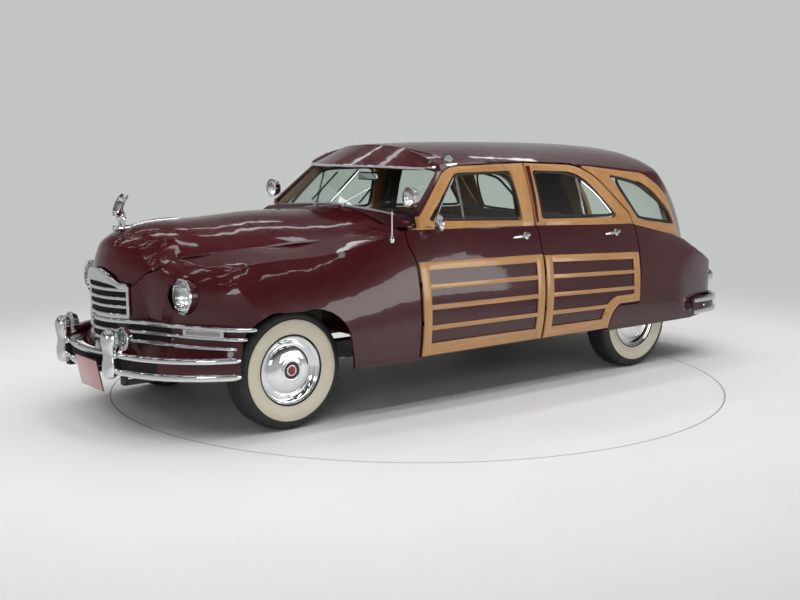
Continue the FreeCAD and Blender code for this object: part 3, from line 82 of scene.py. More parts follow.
scene = bpy.context.scene
scene.view_settings.view_transform = "Standard"
lens = bpy.data.cameras.new("camera")
lens.lens = view["lens"]
lens.sensor_width = 36
lens.clip_end = 200
camera = bpy.data.objects.new("camera", lens)
camera.location = view["place"]
camera.rotation_euler = Vector(view["aim"]).to_track_quat("-Z", "Y").to_euler()
scene.collection.objects.link(camera)
scene.camera = camera


# a socket that takes part in sums; any other node comes from make
class Wire:
    def __init__(self, tree, socket=None):
        self.tree = tree
        self.socket = socket

    def feed(self, target, value):
        if isinstance(value, Wire):
            self.tree.links.new(value.socket, target)
        else:
            target.default_value = value

    def make(self, kind, settings=None, values=None, out=0):
        node = self.tree.nodes.new("ShaderNode" + kind)
        for name, value in (settings or {}).items():
            setattr(node, name, value)
        for name, value in (values or {}).items():
            self.feed(node.inputs[name], value)
        return Wire(self.tree, node.outputs[out])

    def sum(self, operation, *others):
        values = dict(enumerate((self,) + others))
        return self.make("Math", {"operation": operation}, values)

    def __add__(self, other):
        return self.sum("ADD", other)

    def __sub__(self, other):
        return self.sum("SUBTRACT", other)

    def __mul__(self, other):
        return self.sum("MULTIPLY", other)

    def __rsub__(self, other):
        return (self * -1.0) + other

    __radd__ = __add__
    __rmul__ = __mul__

    def smooth(self, low, high):
        return self.make("MapRange", {"interpolation_type": "SMOOTHSTEP"},
                         {"Value": self, "From Min": low, "From Max": high})

    def mix(self, first, second):  # this wire is the share of the second colour
        return self.make("Mix", {"data_type": "RGBA"}, {0: self, 6: first, 7: second}, 2)

    def blend(self, first, second):  # the same for two shaders
        return self.make("MixShader", {}, {0: self, 1: first, 2: second})

    def glow(self, tone, kind="Emission"):
        return self.make(kind, {}, {"Color": (*tone, 1), "Strength": 1.0})

    def axes(self):
        split = self.tree.nodes.new("ShaderNodeSeparateXYZ")
        self.feed(split.inputs[0], self)
        return [Wire(self.tree, out) for out in split.outputs]

    def stretched(self, scale):
        return self.make("Mapping", {}, {"Vector": self, "Scale": scale})

    def noise(self, scale, detail=3.0, rough=0.5):
        return self.make("TexNoise", {}, {"Vector": self, "Scale": scale, "Detail": detail,
                                          "Roughness": rough})


def finish(name, colour=(0.8, 0.8, 0.8), roughness=0.5, fixed=None):
    # a new material, its shader and the object coordinates
    material = bpy.data.materials.new(name)
    material.use_nodes = True
    shader = material.node_tree.nodes["Principled BSDF"]
    shader.inputs["Base Color"].default_value = (*colour, 1)
    shader.inputs["Roughness"].default_value = roughness
    for label, value in (fixed or {}).items():
        shader.inputs[label].default_value = value
    place = Wire(material.node_tree).make("TexCoord", out=3)
    return material, shader, place


def bump(place, shader, height, strength=0.3, distance=0.001):
    place.feed(shader.inputs["Normal"],
               place.make("Bump", {}, {"Height": height, "Strength": strength, "Distance": distance}))


def wearRough(place, shader, base, spread, scale):
    place.feed(shader.inputs["Roughness"], place.noise(scale).smooth(0.35, 0.65) * spread + base)


def cover(place, surface):
    # the surface takes the place of the plain shader
    place.feed(place.tree.nodes["Material Output"].inputs["Surface"], surface)


def shaded(tone, share):
    return (*[part * share for part in tone], 1)


# finishes
paintTone = {"maroon": (0.06, 0.0045, 0.0085), "rough": 0.22, "coat": 0.035, "gloss": 0.85}


def makePaint(name, tone, roughness=paintTone["rough"]):
    material, shader, place = finish(name, tone, roughness,
                                     {"Coat Weight": paintTone["gloss"], "Coat Roughness": paintTone["coat"],
                                      "Specular IOR Level": 0.2})
    blotch = place.noise(2.2, 2.0).smooth(0.3, 0.7)
    place.feed(shader.inputs["Base Color"], blotch.mix((*tone, 1), shaded(tone, 0.86)))
    wearRough(place, shader, roughness, 0.05, 40)
    return material


paint = makePaint("paintMaroon", paintTone["maroon"])


def makeChrome(name, tone=(0.86, 0.87, 0.88), roughness=0.045):
    material, shader, place = finish(name, tone, roughness, {"Metallic": 1.0})
    wearRough(place, shader, roughness, 0.03, 25)
    return material


chrome = makeChrome("chrome")


def makeWood(name, tones, rough=0.3):
    # varnished hardwood: pores and bands run along the first coordinate of the grain map
    material, shader, place = finish(name, tones[0], rough, {"Coat Weight": 0.6, "Coat Roughness": 0.08})
    place = place.make("TexCoord", out=2)
    grain = place.stretched((1.1, 17.0, 1.0))
    warp = grain.noise(1.0, 3.0)
    band = grain.noise(1.7, 6.0, 0.62)
    fine = place.stretched((5.0, 190.0, 1.0)).noise(1.0, 4.0, 0.7)
    piece = place.stretched((0.137, 0.32, 1.0)).noise(1.0, 0.0)
    shade = (band * 0.55 + warp * 0.25 + piece * 0.25).smooth(0.36, 0.66)
    colour = shade.mix((*tones[0], 1), (*tones[1], 1))
    colour = (fine.smooth(0.5, 0.72) * 0.5).mix(colour, (*tones[2], 1))
    place.feed(shader.inputs["Base Color"], colour)
    place.feed(shader.inputs["Roughness"], fine * 0.18 + (rough - 0.08))
    bump(place, shader, fine, 0.12, 0.0006)
    return material


woodTones = ((0.62, 0.335, 0.13), (0.5, 0.235, 0.078), (0.3, 0.12, 0.035))
wood = makeWood("wood", woodTones)


def makeRubber(name, tone, rough=0.62, grit=0.25):
    material, shader, place = finish(name, tone, rough)
    speck = place.noise(420, 2.0)
    place.feed(shader.inputs["Roughness"], speck * 0.2 + (rough - 0.1))
    bump(place, shader, speck, grit, 0.0004)
    return material


rubber = makeRubber("rubber", (0.018, 0.018, 0.018))
whitewall = makeRubber("whitewall", (0.71, 0.66, 0.52), 0.5, 0.12)


def makeGlass(name, tone, roughness=0.01):
    # thin clear glass: a straight view through it, with a faint reflection that grows at a slant
    material, shader, place = finish(name, tone, roughness)
    clear = place.make("BsdfTransparent", {}, {"Color": (*tone, 1)})
    mirror = place.make("BsdfAnisotropic", {}, {"Color": (1, 1, 1, 1), "Roughness": roughness})
    slant = place.make("LayerWeight", {}, {"Blend": 0.5}, 1).sum("POWER", 4.0) * 0.6 + 0.035
    ray = place.make("LightPath", out=1)
    cover(place, (slant * (1 - ray)).blend(clear, mirror))
    return material


def makeLens(name, tone, roughness=0.01):
    # thick glass that lets lamp light through
    material, shader, place = finish(name, tone, roughness, {"Transmission Weight": 1.0, "IOR": 1.45})
    clear = place.make("BsdfTransparent", {}, {"Color": (*tone, 1)})
    ray = place.make("LightPath", out=1)
    cover(place, ray.blend(Wire(place.tree, shader.outputs[0]), clear))
    return material


glass = makeGlass("glass", (0.93, 0.96, 0.94))


def makeBlack(name, tone=(0.02, 0.02, 0.021), rough=0.45):
    material, shader, place = finish(name, tone, rough)
    speck = place.noise(90, 4.0)
    wearRough(place, shader, rough, 0.15, 30)
    bump(place, shader, speck, 0.1, 0.0004)
    return material


chassisBlack = makeBlack("chassisBlack")


def makeCloth(name, tone, weave=520):
    material, shader, place = finish(name, tone, 0.75, {"Sheen Weight": 0.15})
    across, along, up = place.axes()
    thread = ((across + up) * weave).sum("SINE") * (along * weave).sum("SINE")
    place.feed(shader.inputs["Base Color"], thread.smooth(-0.6, 0.6).mix(shaded(tone, 0.7), (*tone, 1)))
    bump(place, shader, thread, 0.25, 0.0006)
    return material


seatCloth = makeCloth("seatCloth", (0.16, 0.11, 0.085))
castIron = makeBlack("engineIron", (0.1, 0.13, 0.1), 0.55)
plateRed = makePaint("plateRed", (0.6, 0.33, 0.32), 0.3)
print("finishes made")

looks = {"paint": paint, "chrome": chrome, "wood": wood, "tyre": rubber, "wheel": chrome, "glass": glass,
         "seat": seatCloth, "interior": paint, "plate": plateRed, "engine": castIron, "chassis": chassisBlack}
slots = {entry["node"]: entry["material_slot"] for entry in frame["record"]["subparts"]}
for name, piece in nodes.items():
    piece.data.materials.clear()
    piece.data.materials.append(looks[slots[name]])

weldGap = 0.00002
cutGap = 0.00001


def weld(shape):
    bmesh.ops.remove_doubles(shape, verts=shape.verts, dist=weldGap)
    return shape


def parts(shape):
    return shape.verts[:] + shape.edges[:] + shape.faces[:]


def moved(shape, matrix):
    bmesh.ops.transform(shape, matrix=matrix, verts=shape.verts)
    return shape


def sliced(shape, spot, facing, clear=True, gap=cutGap):
    # cut along a plane; what lies on the facing side is thrown away
    bmesh.ops.bisect_plane(shape, geom=parts(shape), dist=gap, plane_co=spot, plane_no=facing,
                           clear_outer=clear)


def capped(shape):
    # flat lids on what a cut left open
    rim = [edge for edge in shape.edges if edge.is_boundary]
    if rim:
        bmesh.ops.holes_fill(shape, edges=rim, sides=0)


def keep(shape, name, body, looks, pick=None, move=None, sharp=32):
    # the shape becomes a piece: joined, facing outwards, shaded and riding on its body
    weld(shape)
    if pick:
        for face in shape.faces:
            face.material_index = pick(face.calc_center_median())
    if move:
        moved(shape, move)
    bmesh.ops.recalc_face_normals(shape, faces=shape.faces)
    mesh = bpy.data.meshes.new(name)
    shape.to_mesh(mesh)
    shape.free()
    mesh.shade_smooth()
    mesh.set_sharp_from_angle(angle=math.radians(sharp))
    for look in looks:
        mesh.materials.append(look)
    piece = bpy.data.objects.new(name, mesh)
    scene.collection.objects.link(piece)
    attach(piece, body)
    return piece


def lathe(profile, steps=64):
    # (distance along X, radius) pairs spun round X
    shape = bmesh.new()
    ring = [shape.verts.new((along, 0, radius)) for along, radius in profile]
    edges = [shape.edges.new(pair) for pair in zip(ring, ring[1:])]
    bmesh.ops.spin(shape, geom=ring + edges, cent=(0, 0, 0), axis=(1, 0, 0), angle=math.tau, steps=steps,
                   use_merge=True)
    return weld(shape)


def placed(at, aim=(1, 0, 0), roll=0.0):
    # from a shape built along X at the origin to its place
    turn = Vector(aim).to_track_quat("X", "Z").to_matrix().to_4x4()
    return Matrix.Translation(at) @ turn @ Matrix.Rotation(roll, 4, "X")


def block(size, at=(0, 0, 0), round=0.0, segments=2):
    shape = bmesh.new()
    bmesh.ops.create_cube(shape, size=1.0)
    bmesh.ops.scale(shape, vec=size, verts=shape.verts)
    if round:
        bmesh.ops.bevel(shape, geom=shape.edges[:], offset=round, segments=segments, affect="EDGES",
                        profile=0.5, material=-1)
    bmesh.ops.translate(shape, vec=at, verts=shape.verts)
    return shape


def joined(*shapes):
    # several shapes in one
    whole = bmesh.new()
    for shape in shapes:
        mesh = bpy.data.meshes.new("part")
        shape.to_mesh(mesh)
        shape.free()
        whole.from_mesh(mesh)
        bpy.data.meshes.remove(mesh)
    return whole


def bothSides(shape):
    bmesh.ops.mirror(shape, geom=parts(shape), axis="X", merge_dist=-1)
    return shape


def flipped(shape):
    # the same shape for the other side
    other = shape.copy()
    bmesh.ops.scale(other, vec=(-1, 1, 1), verts=other.verts)
    return other


def keepPair(shape, name, body, look):
    # a left piece and its twin on the right
    twin = flipped(shape)
    keep(shape, name + "_left", body, [look])
    keep(twin, name + "_right", body.replace("left", "right"), [look])


def rounded(width, height, corner, steps=3):
    # outline of a rounded rectangle
    points = []
    for turn, (x, y) in enumerate(((1, 1), (-1, 1), (-1, -1), (1, -1))):
        for step in range(steps + 1):
            angle = math.pi / 2 * (turn + step / steps)
            points.append((x * (width / 2 - corner) + corner * math.cos(angle),
                           y * (height / 2 - corner) + corner * math.sin(angle)))
    return points


def oval(wide, tall, steps=16):
    turns = [math.tau * k / steps for k in range(steps)]
    return [(wide * math.cos(turn), tall * math.sin(turn)) for turn in turns]


def disc(radius, steps=16):
    return oval(radius, radius, steps)


def bar(points, outline, closed=False, steps=6, order=3, tilt=0.0, ends=1.0):
    # a section swept along a smooth line, with closed ends that may be slimmer
    curves = []
    for name, line, ring in (("outline", [(x, y, 0) for x, y in outline], True), ("route", points, closed)):
        curve = bpy.data.curves.new(name, "CURVE")
        curve.dimensions = "3D"
        curve.twist_mode = "Z_UP"
        curve.resolution_u = steps
        spline = curve.splines.new("POLY" if name == "outline" else "NURBS")
        spline.points.add(len(line) - 1)
        for point, spot in zip(spline.points, line):
            point.co = (*spot, 1)
            point.tilt = tilt
        if name == "route":
            spline.points[0].radius = spline.points[-1].radius = ends
        spline.use_cyclic_u = ring
        if name == "route":
            spline.order_u = order
            spline.use_endpoint_u = not ring
        holder = bpy.data.objects.new(name, curve)
        scene.collection.objects.link(holder)
        curves.append(holder)
    section, route = curves
    route.data.bevel_mode = "OBJECT"
    route.data.bevel_object = section
    route.data.use_fill_caps = True
    bpy.context.view_layer.update()
    mesh = bpy.data.meshes.new_from_object(route.evaluated_get(bpy.context.evaluated_depsgraph_get()))
    shape = bmesh.new()
    shape.from_mesh(mesh)
    bpy.data.meshes.remove(mesh)
    for holder in curves:
        data = holder.data
        bpy.data.objects.remove(holder)
        bpy.data.curves.remove(data)
    return weld(shape)


def copied(*names):
    # merged copy of CAD nodes
    shape = bmesh.new()
    for name in names:
        shape.from_mesh(nodes[name].data)
    return weld(shape)


skins = {}


def skinOf(name):
    # the surface of one CAD node, or of several with a plus sign between them
    if name not in skins:
        shape = copied(*name.split("+"))
        skins[name] = BVHTree.FromBMesh(shape)
        shape.free()
    return skins[name]


def onSkin(name, start, aim=(-1, 0, 0)):
    # where a line from start meets the surface, and the way it faces there
    spot, facing = skinOf(name).ray_cast(Vector(start), Vector(aim))[:2]
    if spot is None:
        raise ValueError("nothing of %s lies on the line from %s" % (name, tuple(start)))
    return spot, facing


# wheels: tyre with whitewall and tread, painted rim, chrome trim ring and cap
wheelSizes = {"half": 0.104, "whiteInner": 0.214, "whiteOuter": 0.3016,
              "grooves": (-0.039, -0.013, 0.013, 0.039), "grooveWidth": 0.0075, "grooveDepth": 0.007,
              "zigzag": 0.0022, "steps": 120, "ring": 0.2045, "cap": 0.157, "medal": 0.052,
              "medalCore": 0.026, "medalRing": (0.0335, 0.0515), "capFace": 0.085, "crownFall": 1.1,
              "treadFrom": 0.345, "treadHalf": 0.047, "shoulder": (0.06, 0.0925), "shoulderFrom": 0.33,
              "cut": (0.0016, -0.0035), "drumTo": (0.02, 0.15), "valveAt": 0.181,
              "rolled": {"front": 0.4, "rear": 1.1}}
wheelRed = makePaint("capRed", (0.3, 0.012, 0.02), 0.25)
rimPaint = makePaint("rimPaint", paintTone["maroon"], 0.25)
brakeIron = makeBlack("brakeIron", (0.09, 0.085, 0.08), 0.5)


def roundStep(spot):
    # how far round the axle a spot lies, counted in steps of the tread
    return math.atan2(spot.y, spot.z) / math.tau * wheelSizes["steps"]


def inShoulder(face):
    spot = face.calc_center_median()
    low, high = wheelSizes["shoulder"]
    return (low < abs(spot.x) < high and math.hypot(spot.y, spot.z) > wheelSizes["shoulderFrom"]
            and round(roundStep(spot) + 0.5) % 4 == 0)


def makeTyre():
    half = wheelSizes["half"]
    outer = [(0.055, 0.205), (0.075, 0.2052), (0.079, 0.2075), (0.0825, 0.2115), (0.0855, 0.2128),
             (0.0868, 0.214), (0.0935, 0.23), (0.1, 0.248), (0.1032, 0.264), (half, 0.274), (0.103, 0.288),
             (0.1008, 0.3), (0.0998, 0.3016), (0.1006, 0.303), (0.0985, 0.3075), (0.096, 0.311),
             (0.0966, 0.3145), (0.0925, 0.325), (0.087, 0.338), (0.08, 0.3465)]
    tread = [(0.0745, 0.35), (0.066, 0.353)]
    wide = wheelSizes["grooveWidth"] / 2
    for middle in reversed(wheelSizes["grooves"]):
        fall = tyreRadius - abs(middle) ** 2 * wheelSizes["crownFall"]
        low = fall - wheelSizes["grooveDepth"]
        tread += [(middle + wide, fall), (middle + wide * 0.6, low), (middle - wide * 0.6, low),
                  (middle - wide, fall)]
    tread += [(-0.066, 0.353), (-0.0745, 0.35)]
    inner = [(-along, radius) for along, radius in reversed(outer)]
    shape = lathe(outer + tread + inner + [outer[0]], wheelSizes["steps"])
    for vert in shape.verts:
        radius = math.hypot(vert.co.y, vert.co.z)
        if radius > wheelSizes["treadFrom"] and abs(vert.co.x) < wheelSizes["treadHalf"]:
            vert.co.x += wheelSizes["zigzag"] * (1 if round(roundStep(vert.co)) % 2 else -1)
    # cross cuts in both shoulders
    wall, deep = wheelSizes["cut"]
    cuts = [face for face in shape.faces if inShoulder(face)]
    bmesh.ops.inset_region(shape, faces=cuts, thickness=wall, depth=deep)
    return shape


def makeRim():
    # steel wheel with its drop centre and disc, closed all round, with the brake drum behind
    profile = [(0.0745, 0.2048), (0.076, 0.2), (0.07, 0.196), (0.056, 0.1935), (0.03, 0.18), (0.01, 0.176),
               (0.008, 0.168), (0.024, 0.15), (0.033, 0.12), (0.03, 0.07), (0.026, 0.062), (0.026, 0.0),
               (0.022, 0.0), (0.022, 0.06), (0.025, 0.072), (0.028, 0.118), (0.02, 0.145), (0.004, 0.164),
               (-0.03, 0.17), (-0.056, 0.19), (-0.07, 0.193), (-0.076, 0.1985), (-0.0745, 0.2048),
               (-0.056, 0.203), (0.056, 0.203), (0.0745, 0.2048)]
    return lathe(profile, 64)


def makeCap():
    profile = [(0.07, 0.196), (0.0775, 0.201), (0.08, wheelSizes["ring"]), (0.0835, 0.2035), (0.085, 0.2),
               (0.0835, 0.1965), (0.079, 0.1945), (0.0765, 0.191), (0.076, 0.185), (0.07, 0.179),
               (0.062, 0.173), (0.0585, 0.17), (0.0575, 0.167), (0.059, 0.164), (0.056, 0.161),
               (0.053, 0.159), (0.054, wheelSizes["cap"]), (0.058, 0.155), (0.064, 0.15), (0.073, 0.14),
               (0.08, 0.127), (0.085, 0.113), (0.089, 0.096), (0.0915, 0.078), (0.0925, 0.062),
               (0.0945, 0.059), (0.095, 0.056), (0.094, 0.053), (0.0915, wheelSizes["medal"]),
               (0.0912, 0.033), (0.0925, 0.0315), (0.0932, 0.029), (0.0925, wheelSizes["medalCore"]),
               (0.0932, 0.016), (0.0936, 0.0)]
    back = [(0.065, 0.0), (0.05, 0.15), (0.056, 0.18), (0.07, 0.196)]
    return lathe(profile + back, 72)


def capPart(spot):
    radius = math.hypot(spot.y, spot.z)
    low, high = wheelSizes["medalRing"]
    if spot.x > wheelSizes["capFace"] and radius < wheelSizes["medalCore"]:
        return 1
    return 2 if spot.x > wheelSizes["capFace"] and low < radius < high else 0


def rimPart(spot):
    along, radius = wheelSizes["drumTo"]
    return 1 if spot.x < along and math.hypot(spot.y, spot.z) < radius else 0


def tyrePart(spot):
    radius = math.hypot(spot.y, spot.z)
    return 1 if spot.x > 0 and wheelSizes["whiteInner"] < radius < wheelSizes["whiteOuter"] else 0


capDark = makeBlack("capDark", (0.03, 0.03, 0.033), 0.3)
for corner in ("front_left", "front_right", "rear_left", "rear_right"):
    low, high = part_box("tyre_" + corner)
    spot = (low + high) / 2
    aim = (1, 0, 0) if spot.x > 0 else (-1, 0, 0)
    move = placed(spot, aim, wheelSizes["rolled"][corner.split("_")[0]])
    tyre = keep(makeTyre(), "tyre_tread_" + corner, corner + "_wheel", [rubber, whitewall], tyrePart, move,
                40)
    rim = keep(makeRim(), "rim_" + corner, corner + "_wheel", [rimPaint, brakeIron], rimPart, move)
    keep(makeCap(), "wheel_cap_" + corner, corner + "_wheel", [chrome, wheelRed, capDark], capPart, move)
    stem = lathe([(0.05, 0.0), (0.05, 0.004), (0.086, 0.004), (0.087, 0.0032), (0.094, 0.0032),
                  (0.0945, 0.0)], 12)
    keep(stem, "valve_" + corner, corner + "_wheel", [rubber], None,
         move @ Matrix.Translation((0, 0, wheelSizes["valveAt"])))
    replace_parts(tyre, "tyre_" + corner)
    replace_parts(rim, "wheel_" + corner)
print("wheels made")


# front: grille, bumper with its guards, lamps and plate
# a bar has its height, the height where the nose's line is taken, and its own thickness
grilleSizes = {"bars": ((0.645, 0.644, 0.027), (0.59, 0.59, 0.023), (0.536, 0.536, 0.023)), "deep": 0.022,
               "level": 0.644, "sink": 0.006, "barSink": 0.003, "upperFoot": 0.676, "postMiddle": 0.76,
               "barSides": (0.0, 0.1, 0.2, 0.3, 0.42, 0.54, 0.65, 0.74, 0.82, 0.86), "parkingAt": 0.6175,
               "slats": (0.731, 0.779, 0.829), "slatTall": 0.02,
               "arch": ((0.0, 0.937), (0.05, 0.934), (0.1, 0.92), (0.145, 0.893), (0.18, 0.866),
                        (0.205, 0.853), (0.232, 0.854), (0.25, 0.848)), "parking": (0.62, 0.845),
               "ends": ((-0.44, -0.39, -0.35, -0.32, -0.302), (-0.46, -0.42, -0.39, -0.365, -0.347),
                        (-0.49, -0.46, -0.43, -0.41, -0.397))}
lensClear = makeLens("lensClear", (0.95, 0.96, 0.96), 0.03)
lensGrey = makeLens("lensGrey", (0.62, 0.6, 0.56), 0.2)
reflector = makeChrome("reflector", (0.92, 0.92, 0.9), 0.12)
# a flat black: painted shade on the sheets behind the grille, and the middle of the front bumper's insert
shadeAndInsertBlack = makeBlack("grilleBlack", (0.006, 0.006, 0.006), 0.7)


def fluted(material, pitch, strength, distance, cross=None):
    # upright flutes in a lens, with finer ones across them
    place = Wire(material.node_tree).make("TexCoord", out=3)
    wave = (place.axes()[0] * pitch).sum("SINE")
    if cross:
        wave = wave + (place.axes()[2] * cross).sum("SINE") * 0.4
    bump(place, material.node_tree.nodes["Principled BSDF"], wave, strength, distance)


fluted(lensClear, 420, 0.5, 0.0015, 90)
fluted(lensGrey, 900, 0.6, 0.002)


def faceLine(node, level, z, inset, sides, depths):
    # half of a line round the nose: across the front, then back along the left side
    line = []
    for side in sides:
        spot, facing = onSkin(node, (side, cadBox[0].y - 1, level), (0, 1, 0))
        line.append((spot.x - facing.x * inset, spot.y - facing.y * inset, z))
    for depth in depths:
        spot, facing = onSkin(node, (cadBox[1].x + 1, frontAxle + depth, level), (-1, 0, 0))
        line.append((spot.x - facing.x * inset, spot.y - facing.y * inset, z))
    return line


def wholeLine(half, back=0.0):
    # both halves of a line that starts in the middle, moved back
    half = [(x, y + back, z) for x, y, z in half]
    return [(-x, y, z) for x, y, z in reversed(half[1:])] + half


def grilleDepth(side):
    return onSkin("grille", (side, cadBox[0].y - 1, grilleSizes["level"]), (0, 1, 0))[0].y


def grilleLine(height, inset, sides):
    # straight across the grille's front, without its ends
    return faceLine("grille", grilleSizes["level"], height, inset, sides, ())


def lower():
    shapes = []
    for (height, level, tall), depths in zip(grilleSizes["bars"], grilleSizes["ends"]):
        inset = grilleSizes["deep"] / 2 - grilleSizes["barSink"]
        half = faceLine("grille", level, height, inset, grilleSizes["barSides"], depths)
        shapes.append(bar(wholeLine(half), rounded(grilleSizes["deep"], tall, 0.009), ends=0.55))
    return joined(*shapes)


keep(lower(), "grille_bars", "body", [chrome])
# painted shade: dark sheets behind the bars stand in for the shade in the grille's openings; height, inset,
# thickness, tall and the sides where they follow the nose
sheetSizes = {"grille_shade_lower": (0.586, 0.0195, 0.004, 0.15, (0.0, 0.12, 0.24, 0.36, 0.45, 0.52)),
              "grille_shade_upper": (0.775, 0.0185, 0.003, 0.19, (0.0, 0.06, 0.12, 0.18, 0.24))}


# a dark sheet that paints the shade behind the grille's bars and slats
def sheet(name):
    height, inset, thick, tall, sides = sheetSizes[name]
    line = wholeLine(grilleLine(height, inset, sides))
    keep(bar(line, rounded(thick, tall, 0.001)), name, "body", [shadeAndInsertBlack])


# painted shade behind the lower bars
sheet("grille_shade_lower")


def crown():
    # plate that closes the arch over the top slat: its lower edge is flatter than the arch
    shape = bmesh.new()
    columns = []
    for side, top, foot in ((0.0, 0.935, 0.876), (0.05, 0.932, 0.875), (0.1, 0.918, 0.87),
                            (0.145, 0.891, 0.864), (0.18, 0.864, 0.856), (0.215, 0.848, 0.846)):
        for hand in ((1, -1) if side else (1,)):
            depth = grilleDepth(hand * side) + 0.002
            ends = [shape.verts.new((hand * side, depth, z)) for z in (top, foot - 0.002)]
            columns.append((hand * side, ends))
    columns.sort(key=lambda column: column[0])
    for (_, first), (_, second) in zip(columns, columns[1:]):
        shape.faces.new((first[0], second[0], second[1], first[1]))
    bmesh.ops.recalc_face_normals(shape, faces=shape.faces)
    bmesh.ops.solidify(shape, geom=shape.faces[:], thickness=-0.01)
    return shape


def upper():
    # arched frame with four openings over three slats
    sink = grilleSizes["sink"]
    half = [(side, grilleDepth(side), z) for side, z in grilleSizes["arch"]]
    side, depth, height = half[-1]
    posts = [bar([(hand * side, depth + sink, z)
                  for z in (height + 0.004, grilleSizes["postMiddle"], grilleSizes["upperFoot"])],
                 rounded(0.02, 0.018, 0.006)) for hand in (-1, 1)]
    shapes = [bar(wholeLine(half, sink), rounded(0.024, 0.034, 0.009), steps=8), crown()] + posts
    sides = (0.0, 0.06, 0.12, 0.18, 0.244)
    for level in grilleSizes["slats"]:
        line = wholeLine(grilleLine(level, -0.001, sides), 0.01)
        shapes.append(bar(line, rounded(0.016, grilleSizes["slatTall"], 0.006)))
    foot = wholeLine(grilleLine(grilleSizes["upperFoot"], 0.009, (0.0, 0.06, 0.12, 0.19, 0.26)))
    shapes.append(bar(foot, rounded(0.02, 0.03, 0.008)))
    return joined(*shapes)


grilleTop = keep(upper(), "grille_upper", "body", [chrome])
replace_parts(grilleTop, "grille")
# painted shade behind the upper slats
sheet("grille_shade_upper")


def parkingLamp(inset, run, tall, deep):
    # a strip between the two upper bars; run is how far its ends stay inside the frame's
    start, stop = grilleSizes["parking"]
    sides = [start + run + (stop - start - 2 * run) * k / 5 for k in range(6)]
    line = grilleLine(grilleSizes["parkingAt"], inset + deep / 2 - grilleSizes["sink"], sides)
    return bothSides(bar(line, rounded(deep, tall, 0.004), order=4))


keep(parkingLamp(0.004, 0.0, 0.04, 0.02), "parking_lamp_frames", "body", [chrome])
keep(parkingLamp(-0.0035, 0.022, 0.024, 0.012), "parking_lamp_lenses", "body", [lensGrey])

bumperSizes = {"top": (0.474, 0.036), "foot": (0.38, 0.042), "deep": 0.036, "insertTall": 0.074,
               "blackTo": 0.64, "guard": (0.33, -0.896, 0.4865), "fuller": (1.08, 1.3, 1.0), "iron": 0.39}


def bumperLine(node, level, z, inset, sides=(0.0, 0.1, 0.2, 0.28, 0.42, 0.54, 0.65, 0.74, 0.81),
               depths=(-0.56, -0.5, -0.45, -0.41, -0.385)):
    return faceLine(node, level, z, inset, sides, depths)


shapes = [bar(wholeLine(bumperLine("front_bumper", z, z, bumperSizes["deep"] / 2)),
              rounded(bumperSizes["deep"], tall, 0.015), ends=0.5)
          for z, tall in (bumperSizes["top"], bumperSizes["foot"])]
frontBumper = keep(joined(*shapes), "front_bumper_bars", "body", [chrome])
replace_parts(frontBumper, "front_bumper")
topLevel, footLevel, blackTo = bumperSizes["top"][0], bumperSizes["foot"][0], bumperSizes["blackTo"]
middle = (topLevel + footLevel) / 2
insert = rounded(0.008, bumperSizes["insertTall"], 0.002)
blackHalf = bumperLine("front_bumper", topLevel, middle, 0.024, (0.0, 0.1, 0.2, 0.28, 0.42, 0.54, blackTo),
                       ())
keep(bar(wholeLine(blackHalf), insert), "bumper_insert_black", "body", [shadeAndInsertBlack])
paintedHalf = bumperLine("front_bumper", topLevel, middle, 0.022, (blackTo - 0.01, 0.69, 0.74, 0.79, 0.82))
keep(bothSides(bar(paintedHalf, insert)), "bumper_insert_painted", "body", [paint])


def guard():
    # bulbous upright, drawn as a turned shape and flattened sideways
    profile = [(-0.146, 0.0), (-0.143, 0.018), (-0.128, 0.031), (-0.092, 0.037), (-0.05, 0.036),
               (-0.02, 0.031), (0.008, 0.03), (0.04, 0.035), (0.075, 0.04), (0.105, 0.039), (0.128, 0.029),
               (0.14, 0.015), (0.143, 0.0)]
    shape = lathe(profile, 32)
    bmesh.ops.rotate(shape, verts=shape.verts, matrix=Matrix.Rotation(-math.pi / 2, 3, "Y"))
    bmesh.ops.scale(shape, vec=bumperSizes["fuller"], verts=shape.verts)
    side, depth, height = bumperSizes["guard"]
    bmesh.ops.translate(shape, vec=(side, frontAxle + depth, height), verts=shape.verts)
    arm = block((0.05, 0.23, 0.026), (bumperSizes["iron"], frontAxle - 0.73, 0.32), 0.004)
    hook = block((0.05, 0.028, 0.085), (bumperSizes["iron"], frontAxle - 0.84, 0.35), 0.004)
    return shape, joined(arm, hook)


guardShape, armShape = guard()
keep(bothSides(guardShape), "bumper_guards", "body", [chrome])
keep(bothSides(armShape), "bumper_irons", "body", [chassisBlack])


def lamp(radius, depth, bulge, back, bezel):
    # chrome shell with its rolled rim, reflector bowl and domed lens; it faces along X
    shell = [(-depth, 0.0), (-depth + back * 0.1, radius * 0.4), (-depth + back * 0.4, radius * 0.78),
             (-depth + back, radius * 0.97), (-bezel, radius * 0.985), (-bezel * 0.7, radius),
             (-bezel * 0.2, radius), (0.0, radius - bezel * 0.3), (0.0005, radius - bezel * 0.75),
             (-0.004, radius - bezel), (-0.01, radius - bezel), (-0.012, radius - bezel * 0.9)]
    dish = [(-depth * 0.75, 0.0), (-depth * 0.72, radius * 0.25), (-depth * 0.55, radius * 0.55),
            (-0.022, radius - bezel * 1.05), (-0.012, radius - bezel * 0.9)]
    inner = radius - bezel
    glassFront = [(bulge, 0.0), (bulge * 0.93, inner * 0.35), (bulge * 0.7, inner * 0.62),
                  (bulge * 0.34, inner * 0.86), (-0.004, inner - 0.0004), (-0.008, inner - 0.0008)]
    glassBack = [(x - 0.004, max(r - 0.002, 0.0)) for x, r in reversed(glassFront)]
    return lathe(shell + list(reversed(dish)), 48), lathe(glassFront + glassBack, 48)


